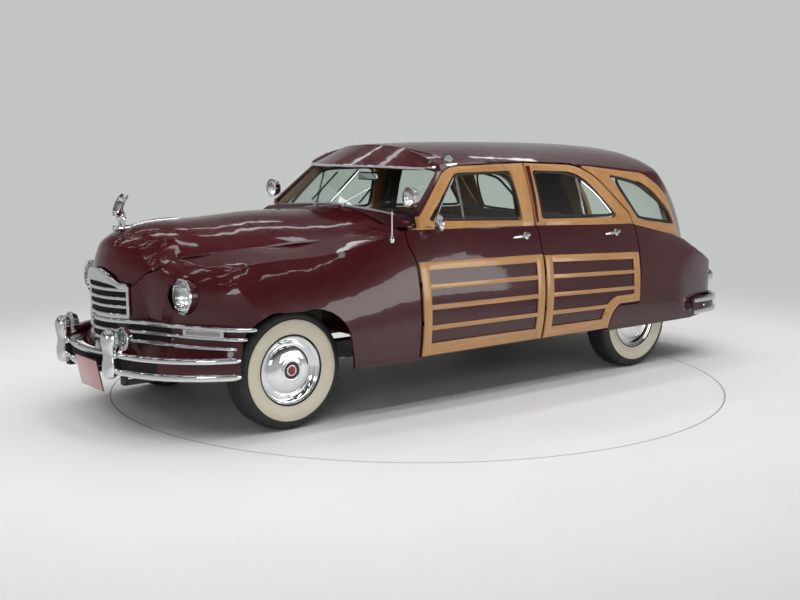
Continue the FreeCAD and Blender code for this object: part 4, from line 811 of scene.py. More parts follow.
# for each pair of lamps: place of the left one's front, radius, depth, lens bulge, shoulder and bezel
lampSizes = {"head": ((0.6145, -0.588, 0.8196), 0.1045, 0.125, 0.02, 0.02, 0.015),
             "fog": ((0.374, -0.838, 0.572), 0.068, 0.058, 0.01, 0.045, 0.008),
             "spot": ((0.8, 0.912, 1.337), 0.066, 0.075, 0.01, 0.06, 0.007)}
rimDeep, rimShare = 0.024, 0.9  # the headlamp's chrome rim: how deep, and from what share of the radius
for name, (spot, radius, depth, bulge, back, bezel) in lampSizes.items():
    shell, lensShape = lamp(radius, depth, bulge, back, bezel)
    aim = placed((spot[0], frontAxle + spot[1], spot[2]), (0, -1, 0))

    def behindRim(place):
        # the headlamp's pod is painted behind its chrome rim
        back = place.y > frontAxle + spot[1] + rimDeep
        return 1 if back and math.hypot(abs(place.x) - spot[0], place.z - spot[2]) > radius * rimShare else 0

    piece = keep(bothSides(moved(shell, aim)), name + "_lamp_shells", "body", [chrome, paint],
                 behindRim if name == "head" else None)
    keep(bothSides(moved(lensShape, aim)), name + "_lamp_lenses", "body", [lensClear])
    bulb = lathe([(-depth * 0.62, 0.0), (-depth * 0.62, radius * 0.1), (-depth * 0.35, radius * 0.12),
                  (-depth * 0.25, radius * 0.08), (-depth * 0.22, 0.0)], 16)
    keep(bothSides(moved(bulb, aim)), name + "_lamp_bulbs", "body", [reflector])
    if name == "head":
        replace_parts(piece, "lamps")
stalk = bar([(0.362, frontAxle - 0.85, 0.487), (0.362, frontAxle - 0.848, 0.5),
             (0.362, frontAxle - 0.822, 0.525)], disc(0.013))
keep(bothSides(stalk), "fog_lamp_stalks", "body", [chrome])

plateSizes = {"middle": 0.116, "wide": 0.305, "tall": 0.192, "top": 0.446, "lean": 0.2, "border": 0.006,
              "back": 0.006}


def plate(wide, tall, thick, forward, round):
    shape = block((wide, thick, tall), (0, -forward, -tall / 2), round)
    bmesh.ops.rotate(shape, verts=shape.verts, cent=(0, 0, 0),
                     matrix=Matrix.Rotation(plateSizes["lean"], 3, "X"))
    bmesh.ops.translate(shape, vec=(plateSizes["middle"], cadBox[0].y + plateSizes["back"],
                                    plateSizes["top"]), verts=shape.verts)
    return shape


border = plateSizes["border"]
blank = keep(plate(plateSizes["wide"] - 2 * border, plateSizes["tall"] - 2 * border, 0.003, 0.0035, 0.001),
             "number_plate_blank", "body", [plateRed], move=Matrix.Translation((0, 0, -border)))
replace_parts(blank, "number_plate")
keep(plate(plateSizes["wide"], plateSizes["tall"], 0.004, 0.0, 0.0018), "number_plate_frame", "body",
     [chassisBlack])
print("front made")


# painted panels: even meshes with clean shading, and fuller rear fenders
panelSizes = {"cell": 0.045, "latticeGap": 0.0002, "flat": 0.004, "sharp": 30, "alike": 0.85, "push": 0.165,
              "pushSides": (0.5, 0.66), "pushDepths": (3.3, 3.95), "lift": 0.012, "shoulder": 0.1,
              "shoulderSides": (0.74, 0.97), "shoulderDepths": (3.6, 3.95), "fillFrom": 3.25,
              "fillHalf": 0.72, "apronFrom": 3.1, "apronTop": 0.985, "apronDrop": (0, -0.002, -0.085),
              "crest": ((2.9, 1.2), (3.3, 1.05), (3.45, 0.992), (3.724, 0.875), (3.9, 0.798), (4.007, 0.732),
                        (4.06, 0.68), (4.099, 0.615), (4.132, 0.476), (4.14, 0.3))}


def lattice(shape, axes, low, high, cell):
    # cuts long faces into even ones along planes
    for axis in axes:
        place = math.floor(low[axis] / cell) * cell
        while place < high[axis]:
            spot, facing = Vector(), Vector()
            spot[axis] = place
            facing[axis] = 1.0
            sliced(shape, spot, facing, False, panelSizes["latticeGap"])
            place += cell


def along(table, value):
    for (first, low), (second, high) in zip(table, table[1:]):
        if value <= second:
            return low + (high - low) * max(0.0, (value - first) / (second - first))
    return table[-1][1]


def ease(value, low, high):
    share = min(1.0, max(0.0, (value - low) / (high - low)))
    return share * share * (3 - 2 * share)


def evened(shape, rounds, factor=0.5, keepSharp=0.5):
    # evens out the faces' shading away from sharp edges and open rims
    still = set()
    for edge in shape.edges:
        if len(edge.link_faces) != 2 or edge.calc_face_angle(0) > keepSharp:
            still.update(edge.verts)
    loose = [vert for vert in shape.verts if vert not in still]
    for _ in range(rounds):
        bmesh.ops.smooth_vert(shape, verts=loose, factor=factor, use_axis_x=True, use_axis_y=True,
                              use_axis_z=True)


def softNormals(mesh, rounds, limit=0.6):
    # the shading directions are spread over neighbouring faces, so uneven triangles don't show
    shape = bmesh.new()
    shape.from_mesh(mesh)
    shape.faces.ensure_lookup_table()
    areas = [face.calc_area() + 1e-9 for face in shape.faces]
    facings = [face.normal * area for face, area in zip(shape.faces, areas)]
    near = [[] for _ in areas]
    for edge in shape.edges:
        if len(edge.link_faces) == 2 and edge.calc_face_angle(3.0) < limit:
            first, second = [face.index for face in edge.link_faces]
            near[first].append(second)
            near[second].append(first)
    for _ in range(rounds):
        summed = []
        for index, others in enumerate(near):
            total = facings[index].copy()
            for other in others:
                total += facings[other]
            summed.append(total.normalized() * areas[index] if total.length > 1e-12 else facings[index])
        facings = summed
    around = [[] for _ in shape.verts]
    for face in shape.faces:
        for vert in face.verts:
            around[vert.index].append(face.index)
    shape.free()
    units = [facing.normalized() for facing in facings]
    normals = [None] * len(mesh.loops)
    for face in mesh.polygons:
        own = units[face.index]
        for loop in face.loop_indices:
            total = Vector()
            for other in around[mesh.loops[loop].vertex_index]:
                if units[other].dot(own) > panelSizes["alike"]:
                    total += facings[other]
            normals[loop] = total.normalized() if total.length > 1e-12 else own
    mesh.normals_split_custom_set(normals)


def panel(name, node, cell=panelSizes["cell"], rounds=0, shapeIt=None, spread=6):
    shape = copied(node)
    bmesh.ops.dissolve_limit(shape, angle_limit=panelSizes["flat"], verts=shape.verts, edges=shape.edges)
    low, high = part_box(node)
    lattice(shape, (0, 1, 2), low, high, cell)
    bmesh.ops.triangulate(shape, faces=[face for face in shape.faces if len(face.verts) > 4])
    if shapeIt:
        shapeIt(shape)
    evened(shape, rounds)
    piece = keep(shape, name, nodeBody(node), [paint], sharp=panelSizes["sharp"])
    softNormals(piece.data, spread)
    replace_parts(piece, node)
    return piece


def nodeBody(node):
    # which body a painted panel rides on
    if "_door_" in node:
        which, _, hand = node.split("_")
        return "door_body_%s_%s" % (which, hand)
    return "hood_body" if node == "hood" else "body"


def cutPiece(node, planes):
    # what lies behind all the planes of a CAD node, closed where it was cut
    shape = copied(node)
    for spot, facing in planes:
        sliced(shape, spot, facing)
    capped(shape)
    return shape


def tailFiller():
    # the shelf between the gate and the fenders, below the roof's rear edge
    half = panelSizes["fillHalf"]
    return cutPiece("quarter_panels", (((0, frontAxle + panelSizes["fillFrom"], 0), (0, -1, 0)),
                                       ((half, 0, 0), (1, 0, 0)), ((-half, 0, 0), (-1, 0, 0))))


def fullTail(shape):
    # the fender corners reach further back and fall in a round line
    for vert in shape.verts:
        side = abs(vert.co.x)
        back = vert.co.y - frontAxle
        share = ease(side, *panelSizes["pushSides"]) * ease(back, *panelSizes["pushDepths"])
        if side > panelSizes["pushSides"][0] and back > panelSizes["pushDepths"][0]:
            vert.co.y += panelSizes["push"] * share
            back = vert.co.y - frontAxle
            lower = ease(side, *panelSizes["shoulderSides"]) * ease(back, *panelSizes["shoulderDepths"])
            top = along(panelSizes["crest"], back) + panelSizes["lift"] - panelSizes["shoulder"] * lower
            vert.co.z = min(vert.co.z, top)


panel("hood_skin", "hood", rounds=5, spread=16)
panel("fender_skin", "front_fenders", rounds=5, spread=16)
panel("roof_skin", "roof", rounds=3, spread=16)
panel("quarter_skin", "quarter_panels", rounds=6, shapeIt=fullTail, spread=12)
keep(tailFiller(), "tail_filler", "body", [paint])


def roofApron():
    # the roof's rear wall carried down behind the fenders
    shape = cutPiece("roof", (((0, frontAxle + panelSizes["apronFrom"], 0), (0, -1, 0)),
                              ((0, 0, panelSizes["apronTop"]), (0, 0, 1))))
    bmesh.ops.translate(shape, vec=panelSizes["apronDrop"], verts=shape.verts)
    return shape


keep(roofApron(), "roof_apron", "body", [paint])
for hand in ("left", "right"):
    panel("front_door_skin_" + hand, "front_door_" + hand)
    panel("rear_door_skin_" + hand, "rear_door_" + hand)
panel("visor_skin", "sun_visor", cell=0.03)
print("panels made")


# hood ornament: two plain swept blades on a low foot, with a spear along the crest
ornamentSizes = {"blade": ((-0.64, 1.168, 0.012), (-0.655, 1.225, 0.018), (-0.652, 1.29, 0.026),
                           (-0.634, 1.34, 0.034), (-0.612, 1.372, 0.04)),
                 "spear": (-0.66, -0.6, -0.52, -0.44, -0.36, -0.29, -0.25), "foot": -0.63,
                 "section": (0.008, 0.034)}


def crestSpot(station):
    return onSkin("hood", (0.0, frontAxle + station, 2.0), (0, 0, -1))[0]


def ornament():
    shapes = []
    for hand in (1, -1):
        line = [(hand * side, frontAxle + station, height)
                for station, height, side in ornamentSizes["blade"]]
        shapes.append(bar(line, oval(*ornamentSizes["section"]), ends=0.45, tilt=math.pi / 2))
    crest = [(0.0, crestSpot(station).y, crestSpot(station).z + 0.004) for station in ornamentSizes["spear"]]
    shapes.append(bar(crest, rounded(0.02, 0.018, 0.007), ends=0.3))
    foot = crestSpot(ornamentSizes["foot"]) + Vector((0, -0.005, 0.012))
    shapes.append(block((0.034, 0.13, 0.036), foot, 0.012, 3))
    return joined(*shapes)


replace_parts(keep(ornament(), "hood_blades", "hood_body", [chrome]), "hood_ornament")
print("ornament made")


# chrome round the cabin: windshield foot rail, divider, wipers, visor edge, mirror, handles, antenna
cabinSizes = {"handles": {"front": (1.8, 1.052), "rear": (2.7, 1.028)},
              "paneFoot": ((0.0, 1.262), (0.2, 1.252), (0.4, 1.238), (0.56, 1.224), (0.66, 1.214)),
              "paneTop": 1.482, "paneProud": Vector((0, -0.006, 0)), "wiper": 0.27,
              "wiperBase": (0.62, 0.875), "wiperTip": 1.37, "wiperBlade": ((1.02, 1.275), (0.98, 1.46)),
              "visorSides": (0.0, 0.1, 0.2, 0.3, 0.4, 0.5, 0.58, 0.65), "visorEnd": 0.655,
              "visorRows": (1.48, 0.002, 26), "marker": (1.33, 1.548), "antenna": (0.88, 0.72),
              "mirror": (1.02, 1.178), "mirrorHead": (0.105, 0.01, 1.176)}


def paneSpot(side, height, back=0.0):
    # a spot on the outer face of the windshield
    return onSkin("fixed_glass", (side, frontAxle + back, height), (0, 1, 0))[0]


def handle(depth, height):
    # pull-out grip on a round boss with its lock button, built on the left side
    spot, facing = onSkin("front_door_left+rear_door_left", (1.5, frontAxle + depth, height))
    out = spot + facing * 0.026
    grip = bar([(out.x - 0.006, spot.y - 0.088, height - 0.006),
                (out.x + 0.002, spot.y - 0.06, height - 0.002), (out.x + 0.004, spot.y, height),
                (out.x, spot.y + 0.045, height + 0.001)], rounded(0.013, 0.019, 0.006), ends=0.6)
    boss = lathe([(-0.004, 0.0), (-0.004, 0.026), (0.003, 0.026), (0.008, 0.021), (0.012, 0.015),
                  (0.026, 0.0145), (0.033, 0.011), (0.035, 0.0)], 28)
    return joined(grip, moved(boss, placed((spot.x, spot.y + 0.05, height), facing)))


for which, place in cabinSizes["handles"].items():
    shape = handle(*place)
    keep(flipped(shape), which + "_door_handle_right", "door_body_%s_right" % which, [chrome])
    keep(shape, which + "_door_handle_left", "door_body_%s_left" % which, [chrome])

# windshield: a chrome rail along the glass's foot, a middle bar and two wipers
proud = cabinSizes["paneProud"]
windFoot = [tuple(paneSpot(side, height + 0.006) + proud) for side, height in cabinSizes["paneFoot"]]
divider = bar([windFoot[0], tuple(paneSpot(0.0, cabinSizes["paneTop"], 0.3) + proud)],
              rounded(0.016, 0.024, 0.005))
footRail = bar(windFoot, rounded(0.012, 0.014, 0.004))
keep(joined(divider, bothSides(footRail)), "windshield_bars", "body", [chrome])


def wiper(side):
    share, station = cabinSizes["wiperBase"]
    foot = onSkin("cowl", (side * share, frontAxle + station, 2.0), (0, 0, -1))[0]
    tip = paneSpot(side, cabinSizes["wiperTip"], 0.2)
    base = lathe([(-0.006, 0.0), (-0.006, 0.017), (0.008, 0.015), (0.018, 0.009), (0.02, 0.0)], 20)
    moved(base, placed(foot, (0, 0, 1)))
    arm = bar([(foot.x, foot.y, foot.z + 0.014), (foot.x, foot.y + 0.01, foot.z + 0.03),
               (tip.x, tip.y - 0.022, tip.z)], rounded(0.005, 0.009, 0.002), ends=0.7)
    spots = [paneSpot(side * share, height, 0.2) for share, height in cabinSizes["wiperBlade"]]
    blade = bar([(spot.x, spot.y - 0.011, spot.z) for spot in spots], rounded(0.016, 0.007, 0.002))
    return joined(base, arm), blade


arms, blades = wiper(cabinSizes["wiper"])
keep(bothSides(arms), "wiper_arms", "body", [chrome])
keep(bothSides(blades), "wiper_blades", "body", [rubber])


def visorLip(side):
    # the foremost point of the visor at this distance from the middle
    best = None
    foot, pitch, count = cabinSizes["visorRows"]
    for step in range(count):
        start = Vector((side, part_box("sun_visor")[0].y - 0.2, foot + pitch * step))
        spot = skinOf("sun_visor").ray_cast(start, Vector((0, 1, 0)))[0]
        if spot and (best is None or spot.y < best.y - 0.0004):
            best = spot
    return best


def visorEdge():
    # chrome lip along the visor's front
    line = []
    for side in cabinSizes["visorSides"]:
        spot = visorLip(side)
        if spot:
            line.append((side, spot.y - 0.001, spot.z - 0.001))
    return bar(wholeLine(line), rounded(0.012, 0.02, 0.005), ends=0.7)


keep(visorEdge(), "visor_edge", "body", [chrome])
# small marker lamp at each end of the visor
marker = lathe([(-0.055, 0.0), (-0.05, 0.01), (-0.03, 0.022), (-0.008, 0.03), (0.0, 0.031), (0.003, 0.028),
                (0.003, 0.024), (0.0, 0.024), (0.008, 0.018), (0.011, 0.0)], 28)
station, height = cabinSizes["marker"]
endSpot, endFacing = onSkin("roof", (1.3, frontAxle + station, height))
lipEnd = visorLip(cabinSizes["visorEnd"])
roofSpots = [onSkin("roof", (1.3, frontAxle + station, height))[0] + Vector((proud, 0, 0))
             for station, height, proud in ((1.3, 1.532, 0.004), (1.375, 1.536, 0.003))]
bracket = bar([lipEnd + Vector((-0.03, -0.002, 0.0)), lipEnd + Vector((0.025, 0.03, 0.004))] + roofSpots,
              rounded(0.016, 0.024, 0.006), ends=0.6)
keep(bothSides(bracket), "visor_brackets", "body", [chrome])
moved(marker, placed(endSpot + endFacing * 0.012, (0.25, -1, 0.02)))
keep(bothSides(marker), "visor_marker_lamps", "body", [chrome])

# radio antenna on the left of the cowl
side, station = cabinSizes["antenna"]
mast = onSkin("front_fenders", (side, frontAxle + station, 1.6), (0, 0, -1))[0]
ball = lathe([(-0.012, 0.0), (-0.012, 0.014), (0.0, 0.018), (0.01, 0.018), (0.02, 0.013), (0.032, 0.006),
              (0.034, 0.004), (0.17, 0.0028), (0.172, 0.0045), (0.178, 0.004), (0.181, 0.0)], 20)
keep(ball, "antenna", "body", [chrome], None, placed(mast, (0, 0, 1)))

# round mirror on the left front door
station, height = cabinSizes["mirror"]
stand = onSkin("front_door_wood_left", (1.5, frontAxle + station, height))[0]
out, back, height = cabinSizes["mirrorHead"]
head = Vector((stand.x + out, stand.y + back, height))
mirrorArm = bar([(stand.x - 0.002, stand.y - 0.03, 1.15), (stand.x + 0.05, stand.y - 0.03, 1.152),
                 (head.x - 0.01, head.y - 0.025, 1.165), tuple(head + Vector((0, -0.012, 0)))],
                disc(0.0055, 12))
cup = lathe([(-0.03, 0.0), (-0.028, 0.02), (-0.018, 0.042), (-0.004, 0.054), (0.004, 0.055), (0.006, 0.052),
             (0.004, 0.05), (0.004, 0.0)], 40)
moved(cup, placed(head, (0.18, 1, 0.03)))
keep(joined(mirrorArm, cup), "door_mirror", "door_body_front_left", [chrome])
stalks = bar([(0.775, frontAxle + 0.975, 1.3), (0.79, frontAxle + 0.965, 1.325),
              (0.803, frontAxle + 0.95, 1.337)], disc(0.01, 16))
keep(bothSides(stalks), "spotlight_stalks", "body", [chrome])
print("cabin trim made")


# wood: every CAD frame is cut into its separate members, each with grain along its length
woodSizes = {"gap": 0.0004, "edge": 0.0016, "sharp": 0.7, "flat": 0.01, "shift": (7.3, 3.1),
             "ladder": (1.0, 0.3), "stile": 0.15, "stileGrain": 0.03}


def oblong(left, right, foot, top):
    return [(left, foot), (right, foot), (right, top), (left, top)]


def woodMember(source, outline, grain, across, number):
    # the part of the source inside a convex outline; outline and grain are (station, height) pairs
    def spot(station, height):
        return Vector((station, 0, height)) if across else Vector((0, frontAxle + station, height))

    through = 1 if across else 0  # the axis that the member is seen along
    shape = source.copy()
    corners = [spot(*pair) for pair in outline]
    middle = sum(corners, Vector()) / len(corners)
    for first, second in zip(corners, corners[1:] + corners[:1]):
        run = second - first
        facing = Vector((run.z, 0, -run.x)) if across else Vector((0, run.z, -run.y))
        facing.normalize()
        if (middle - first).dot(facing) > 0:
            facing.negate()
        sliced(shape, first - facing * woodSizes["gap"], facing)
        capped(shape)
    bmesh.ops.dissolve_limit(shape, angle_limit=woodSizes["flat"], verts=shape.verts, edges=shape.edges)
    bmesh.ops.recalc_face_normals(shape, faces=shape.faces)
    sharp = [edge for edge in shape.edges if edge.is_manifold
             and edge.calc_face_angle(0) > woodSizes["sharp"]]
    bmesh.ops.bevel(shape, geom=sharp, offset=woodSizes["edge"], segments=2, affect="EDGES", profile=0.5,
                    material=-1, clamp_overlap=True)
    line = [spot(*pair) for pair in grain]
    layer = shape.loops.layers.uv.new("grain")
    for face in shape.faces:
        for loop in face.loops:
            place = loop.vert.co
            best = None
            walked = 0.0
            for first, second in zip(line, line[1:]):
                run = second - first
                flat = place - first
                flat[through] = 0.0
                share = min(1.0, max(0.0, flat.dot(run) / run.length_squared))
                side = flat - run * share
                turned = run.cross(side)[through]
                entry = (side.length, walked + share * run.length, math.copysign(side.length, turned))
                best = min(best or entry, entry)
                walked += run.length
            depth = place[through] * (0.3 if across else 0.6)
            loop[layer].uv = (best[1] + number * woodSizes["shift"][0],
                              best[2] + depth + number * woodSizes["shift"][1])
    return shape


def woodwork(name, node, body, members, across=False, start=0):
    # all members of one CAD frame in one piece, and its twin for a door
    source = copied(node)
    shapes = [woodMember(source, outline, grain, across, number)
              for number, (outline, grain) in enumerate(members, start)]
    source.free()
    whole = joined(*[shape for shape in shapes if shape.faces])
    if node.endswith("_left"):
        other = keep(flipped(whole), name + "_right", body.replace("left", "right"), [wood])
        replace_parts(other, node.replace("left", "right"))
        name += "_left"
    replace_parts(keep(whole, name, body, [wood]), node)


def ladderMembers(front, footFront, rear, rowsTo):
    # a leaning stile, then rails and slats; front and footFront are its inner edge at the top and the foot
    high, low = woodSizes["ladder"]
    wide, grain = woodSizes["stile"], woodSizes["stileGrain"]

    def inner(height):
        return front + (footFront - front) * (high - height) / (high - low)

    members = [([(front - wide, high), (front, high), (footFront, low), (footFront - wide, low)],
                [(front - grain, high), (footFront - grain, low)])]
    for top, foot in zip(rowsTo, rowsTo[1:]):
        members.append(([(inner(top[0]), top[0]), (rear, top[1]), (rear, foot[1]), (inner(foot[0]), foot[0])],
                        [(front, (top[0] + foot[0]) / 2), (rear, (top[1] + foot[1]) / 2)]))
    return members


frontRows = [(0.965, 0.955), (0.845, 0.83), (0.72, 0.706), (0.589, 0.582), (0.466, 0.46), (0.325, 0.325)]
frontMembers = ladderMembers(0.942, 0.976, 1.898, frontRows)
frontMembers.append(([(1.898, 1.0), (2.1, 1.0), (2.1, 0.3), (1.898, 0.3)], [(1.93, 1.0), (1.93, 0.3)]))
frontMembers += [([(0.8, 1.05), (0.8, 1.21), (1.2, 1.56), (1.368, 1.56), (1.368, 1.47), (0.94, 1.05)],
                  [(0.84, 1.13), (1.2, 1.445), (1.29, 1.492), (1.42, 1.5)]),
                 ([(1.368, 1.46), (1.368, 1.56), (1.8, 1.56), (1.8, 1.46)], [(1.368, 1.5), (1.8, 1.507)]),
                 ([(1.8, 1.45), (1.8, 1.56), (2.1, 1.56), (2.1, 1.05), (1.862, 1.05)],
                  [(1.905, 1.56), (1.915, 1.05)]),
                 ([(0.94, 1.05), (1.08, 1.187), (1.84, 1.19), (1.862, 1.05)], [(0.95, 1.16), (1.862, 1.13)])]
woodwork("front_door_wood", "front_door_wood_left", "door_body_front_left", frontMembers)

rearRows = [(0.945, 0.93), (0.822, 0.793), (0.702, 0.684), (0.585, 0.592)]
rearMembers = ladderMembers(2.046, 2.046, 2.886, rearRows)
rearMembers += [([(2.886, 0.95), (3.1, 0.95), (3.1, 0.58), (2.886, 0.58)], [(2.915, 0.95), (2.915, 0.5)]),
                ([(2.046, 0.585), (2.691, 0.58), (2.64, 0.457), (2.046, 0.462)],
                 [(2.046, 0.51), (2.7, 0.505)]),
                ([(2.046, 0.462), (2.64, 0.457), (2.575, 0.3), (2.046, 0.3)],
                 [(2.046, 0.395), (2.58, 0.385)]),
                ([(2.575, 0.3), (2.691, 0.58), (3.1, 0.58), (3.1, 0.3)],
                 [(2.61, 0.3), (2.625, 0.43), (2.68, 0.52), (2.76, 0.548), (2.95, 0.548)])]
rearMembers += [([(1.9, 1.05), (1.9, 1.56), (2.06, 1.56), (2.075, 1.3), (2.075, 1.05)],
                 [(2.013, 1.56), (2.013, 1.05)]),
                ([(2.0658, 1.46), (2.06, 1.56), (2.385, 1.56), (2.385, 1.44)], [(2.06, 1.5), (2.385, 1.49)]),
                ([(2.385, 1.4), (2.385, 1.56), (2.75, 1.56), (3.05, 1.2), (3.05, 1.144), (2.815, 1.155)],
                 [(2.385, 1.49), (2.56, 1.44), (2.7, 1.335), (2.9, 1.13)]),
                ([(2.075, 1.05), (2.075, 1.19), (3.05, 1.144), (3.05, 1.02)], [(2.07, 1.13), (2.95, 1.1)])]
woodwork("rear_door_wood", "rear_door_wood_left", "door_body_rear_left", rearMembers)
print("door wood made")

# quarter wood and tailgates
quarterMembers = [([(2.4, 1.5215), (2.4, 1.62), (3.355, 1.62), (3.158, 1.374)],
                   [(2.45, 1.55), (2.95, 1.47), (3.25, 1.41)]),
                  ([(2.4, 1.5215), (2.86, 1.432), (3.046, 1.112), (3.046, 0.85), (2.4, 0.85)],
                   [(2.7, 1.5), (2.95, 1.13), (2.985, 0.95)]),
                  ([(3.158, 1.374), (3.355, 1.62), (3.9, 1.62), (3.9, 0.985), (3.503, 1.044)],
                   [(3.2, 1.42), (3.42, 1.27), (3.6, 0.98)]),
                  ([(3.046, 1.112), (3.9, 0.985), (3.9, 0.75), (3.046, 0.75)], [(3.05, 1.06), (3.75, 0.93)])]
woodwork("quarter_wood_members", "quarter_wood", "body", quarterMembers, start=30)

upperGate = [(oblong(-0.7, 0.7, 1.36, 1.6), [(-0.6, 1.4), (0.6, 1.4)]),
             (oblong(-0.7, -0.4, 0.85, 1.36), [(-0.45, 0.9), (-0.45, 1.4)]),
             (oblong(0.4, 0.7, 0.85, 1.36), [(0.45, 0.9), (0.45, 1.4)]),
             (oblong(-0.4, 0.4, 0.85, 1.36), [(-0.6, 0.97), (0.6, 0.97)])]
woodwork("upper_gate_members", "tailgate_upper", "upper_tailgate", upperGate, True)
lowerGate = [(oblong(-0.7, 0.7, 0.86, 1.0), [(-0.6, 0.9), (0.6, 0.9)]),
             (oblong(-0.7, -0.44, 0.58, 0.86), [(-0.49, 0.5), (-0.49, 0.9)]),
             (oblong(0.44, 0.7, 0.58, 0.86), [(0.49, 0.5), (0.49, 0.9)]),
             (oblong(-0.44, 0.44, 0.58, 0.86), [(-0.6, 0.72), (0.6, 0.72)]),
             (oblong(-0.7, 0.7, 0.3, 0.58), [(-0.6, 0.55), (0.6, 0.55)])]
woodwork("lower_gate_members", "tailgate_lower", "lower_tailgate", lowerGate, True)
print("quarter and gate wood made")

# trim of the side windows, laid on the outer face of each pane
trimSizes = {"proud": 0.004, "drawn": 0.006, "seal": (0.014, 0.02, 0.004), "corner": 0.35}


def sideLine(node, points):
    # (station, height) points laid on the left side and lifted off it
    line = []
    for station, height in points:
        spot, facing = onSkin(node, (1.3, frontAxle + station, height))
        line.append(spot + facing * trimSizes["proud"])
    return line


def shrunk(points, share):
    # a closed outline drawn in towards its middle
    middle = (sum(p[0] for p in points) / len(points), sum(p[1] for p in points) / len(points))
    result = []
    for station, height in points:
        away = math.hypot(station - middle[0], height - middle[1])
        keepShare = (away - share) / away
        result.append((middle[0] + (station - middle[0]) * keepShare,
                       middle[1] + (height - middle[1]) * keepShare))
    return result


windowRings = {"front": ("front_door_glass_left", "door_body_front_left",
                         [(1.09, 1.195), (1.175, 1.3), (1.27, 1.415), (1.325, 1.455), (1.395, 1.473),
                          (1.6, 1.475), (1.78, 1.475), (1.826, 1.45), (1.848, 1.35), (1.853, 1.2),
                          (1.838, 1.162), (1.7, 1.166), (1.4, 1.178), (1.115, 1.186)]),
               "rear": ("rear_door_glass_left", "door_body_rear_left",
                        [(2.052, 1.18), (2.051, 1.32), (2.05, 1.44), (2.072, 1.47), (2.2, 1.468),
                         (2.37, 1.458), (2.5, 1.42), (2.62, 1.338), (2.71, 1.25), (2.785, 1.165),
                         (2.782, 1.142), (2.6, 1.146), (2.3, 1.156), (2.072, 1.162)]),
               "quarter": ("fixed_glass", "body",
                           [(2.88, 1.418), (3.02, 1.392), (3.15, 1.362), (3.26, 1.29), (3.35, 1.228),
                            (3.44, 1.145), (3.505, 1.068), (3.49, 1.056), (3.3, 1.078), (3.08, 1.108),
                            (3.052, 1.125), (2.965, 1.262)])}
for name, (pane, body, points) in windowRings.items():
    ring = bar(sideLine(pane, shrunk(points, trimSizes["drawn"])), rounded(*trimSizes["seal"]), closed=True,
               steps=3)
    keepPair(ring, name + "_seal", body, rubber)

# dividers, vent frames and sill strips: door, points and section
stripSizes = {"vent_divider": ("front", [(1.352, 1.466), (1.345, 1.32), (1.337, 1.178)], (0.014, 0.016)),
              "vent_slope": ("front", [(1.33, 1.448), (1.2, 1.318), (1.108, 1.198)], (0.012, 0.014)),
              "vent_foot": ("front", [(1.115, 1.192), (1.225, 1.187), (1.33, 1.183)], (0.012, 0.014)),
              "front_sill_strip": ("front", [(1.35, 1.182), (1.6, 1.174), (1.84, 1.168)], (0.009, 0.01)),
              "rear_divider": ("rear", [(2.478, 1.418), (2.48, 1.28), (2.483, 1.154)], (0.014, 0.016)),
              "rear_vent_slope": ("rear", [(2.5, 1.408), (2.61, 1.332), (2.7, 1.244), (2.77, 1.162)],
                                  (0.011, 0.013)),
              "rear_vent_foot": ("rear", [(2.49, 1.154), (2.62, 1.152), (2.765, 1.149)], (0.011, 0.013))}
for name, (door, points, (wide, tall)) in stripSizes.items():
    section = rounded(wide, tall, min(wide, tall) * trimSizes["corner"])
    line = sideLine(door + "_door_glass_left", points)
    keepPair(bar(line, section, steps=3), name, "door_body_%s_left" % door, chrome)


postSizes = {"rows": 9, "top": 1.51, "pitch": 0.047, "near": 1.986, "far": 2.022, "lean": 0.0022,
             "thick": 0.004}


def postStrip():
    # painted strip on the leading edge of the rear door's post
    shape = bmesh.new()
    rows = []
    for step in range(postSizes["rows"]):
        height = postSizes["top"] - step * postSizes["pitch"]
        stations = (postSizes["near"], postSizes["far"] - step * postSizes["lean"])
        rows.append([shape.verts.new(onSkin("rear_door_wood_left", (1.3, frontAxle + station, height))[0])
                     for station in stations])
    for first, second in zip(rows, rows[1:]):
        shape.faces.new((first[0], first[1], second[1], second[0]))
    bmesh.ops.recalc_face_normals(shape, faces=shape.faces)
    if shape.faces[:][0].normal.x < 0:
        bmesh.ops.reverse_faces(shape, faces=shape.faces[:])
    bmesh.ops.solidify(shape, geom=shape.faces[:], thickness=-postSizes["thick"])
    return shape


keepPair(postStrip(), "post_strip", "door_body_rear_left", paint)
print("window trim made")


# rear: bumper with two bars and a painted insert, tail lamps and handle
# a bolt has its station, its side and its turn to the back
rearSizes = {"line": ((0.0, 4.23), (0.25, 4.215), (0.5, 4.172), (0.713, 4.112), (0.84, 4.02), (0.918, 3.915),
                      (0.955, 3.76), (0.966, 3.6)), "bars": (0.458, 0.369), "tall": 0.04, "deep": 0.03,
             "centre": 3.4, "flankTo": 3.9, "middle": 0.4135, "irons": 0.44,
             "bolts": ((3.74, 0.956, 0.1), (3.95, 0.902, 0.6))}
tailSizes = {"side": 0.74, "height": 0.6, "proud": 0.008, "turn": 0.3}


def rearLine(height, inset=0.0):
    # round the tail; an inset draws the line in towards a centre, but not along the flanks' stations
    line = []
    centre = rearSizes["centre"]
    for side, station in rearSizes["line"]:
        share = 1 - inset / math.hypot(side, station - centre)
        depth = centre + (station - centre) * share if station > rearSizes["flankTo"] else station
        line.append((side * share, frontAxle + depth, height))
    return line


def rearBars():
    shapes = [bar(wholeLine(rearLine(height)), rounded(rearSizes["deep"], rearSizes["tall"], 0.012),
                  ends=0.8) for height in rearSizes["bars"]]
    for side in (rearSizes["irons"], -rearSizes["irons"]):
        shapes.append(block((0.05, 0.34, 0.03), (side, frontAxle + 4.02, 0.325), 0.006))
        shapes.append(block((0.05, 0.03, 0.12), (side, frontAxle + 4.155, 0.365), 0.006))
    return joined(*shapes)


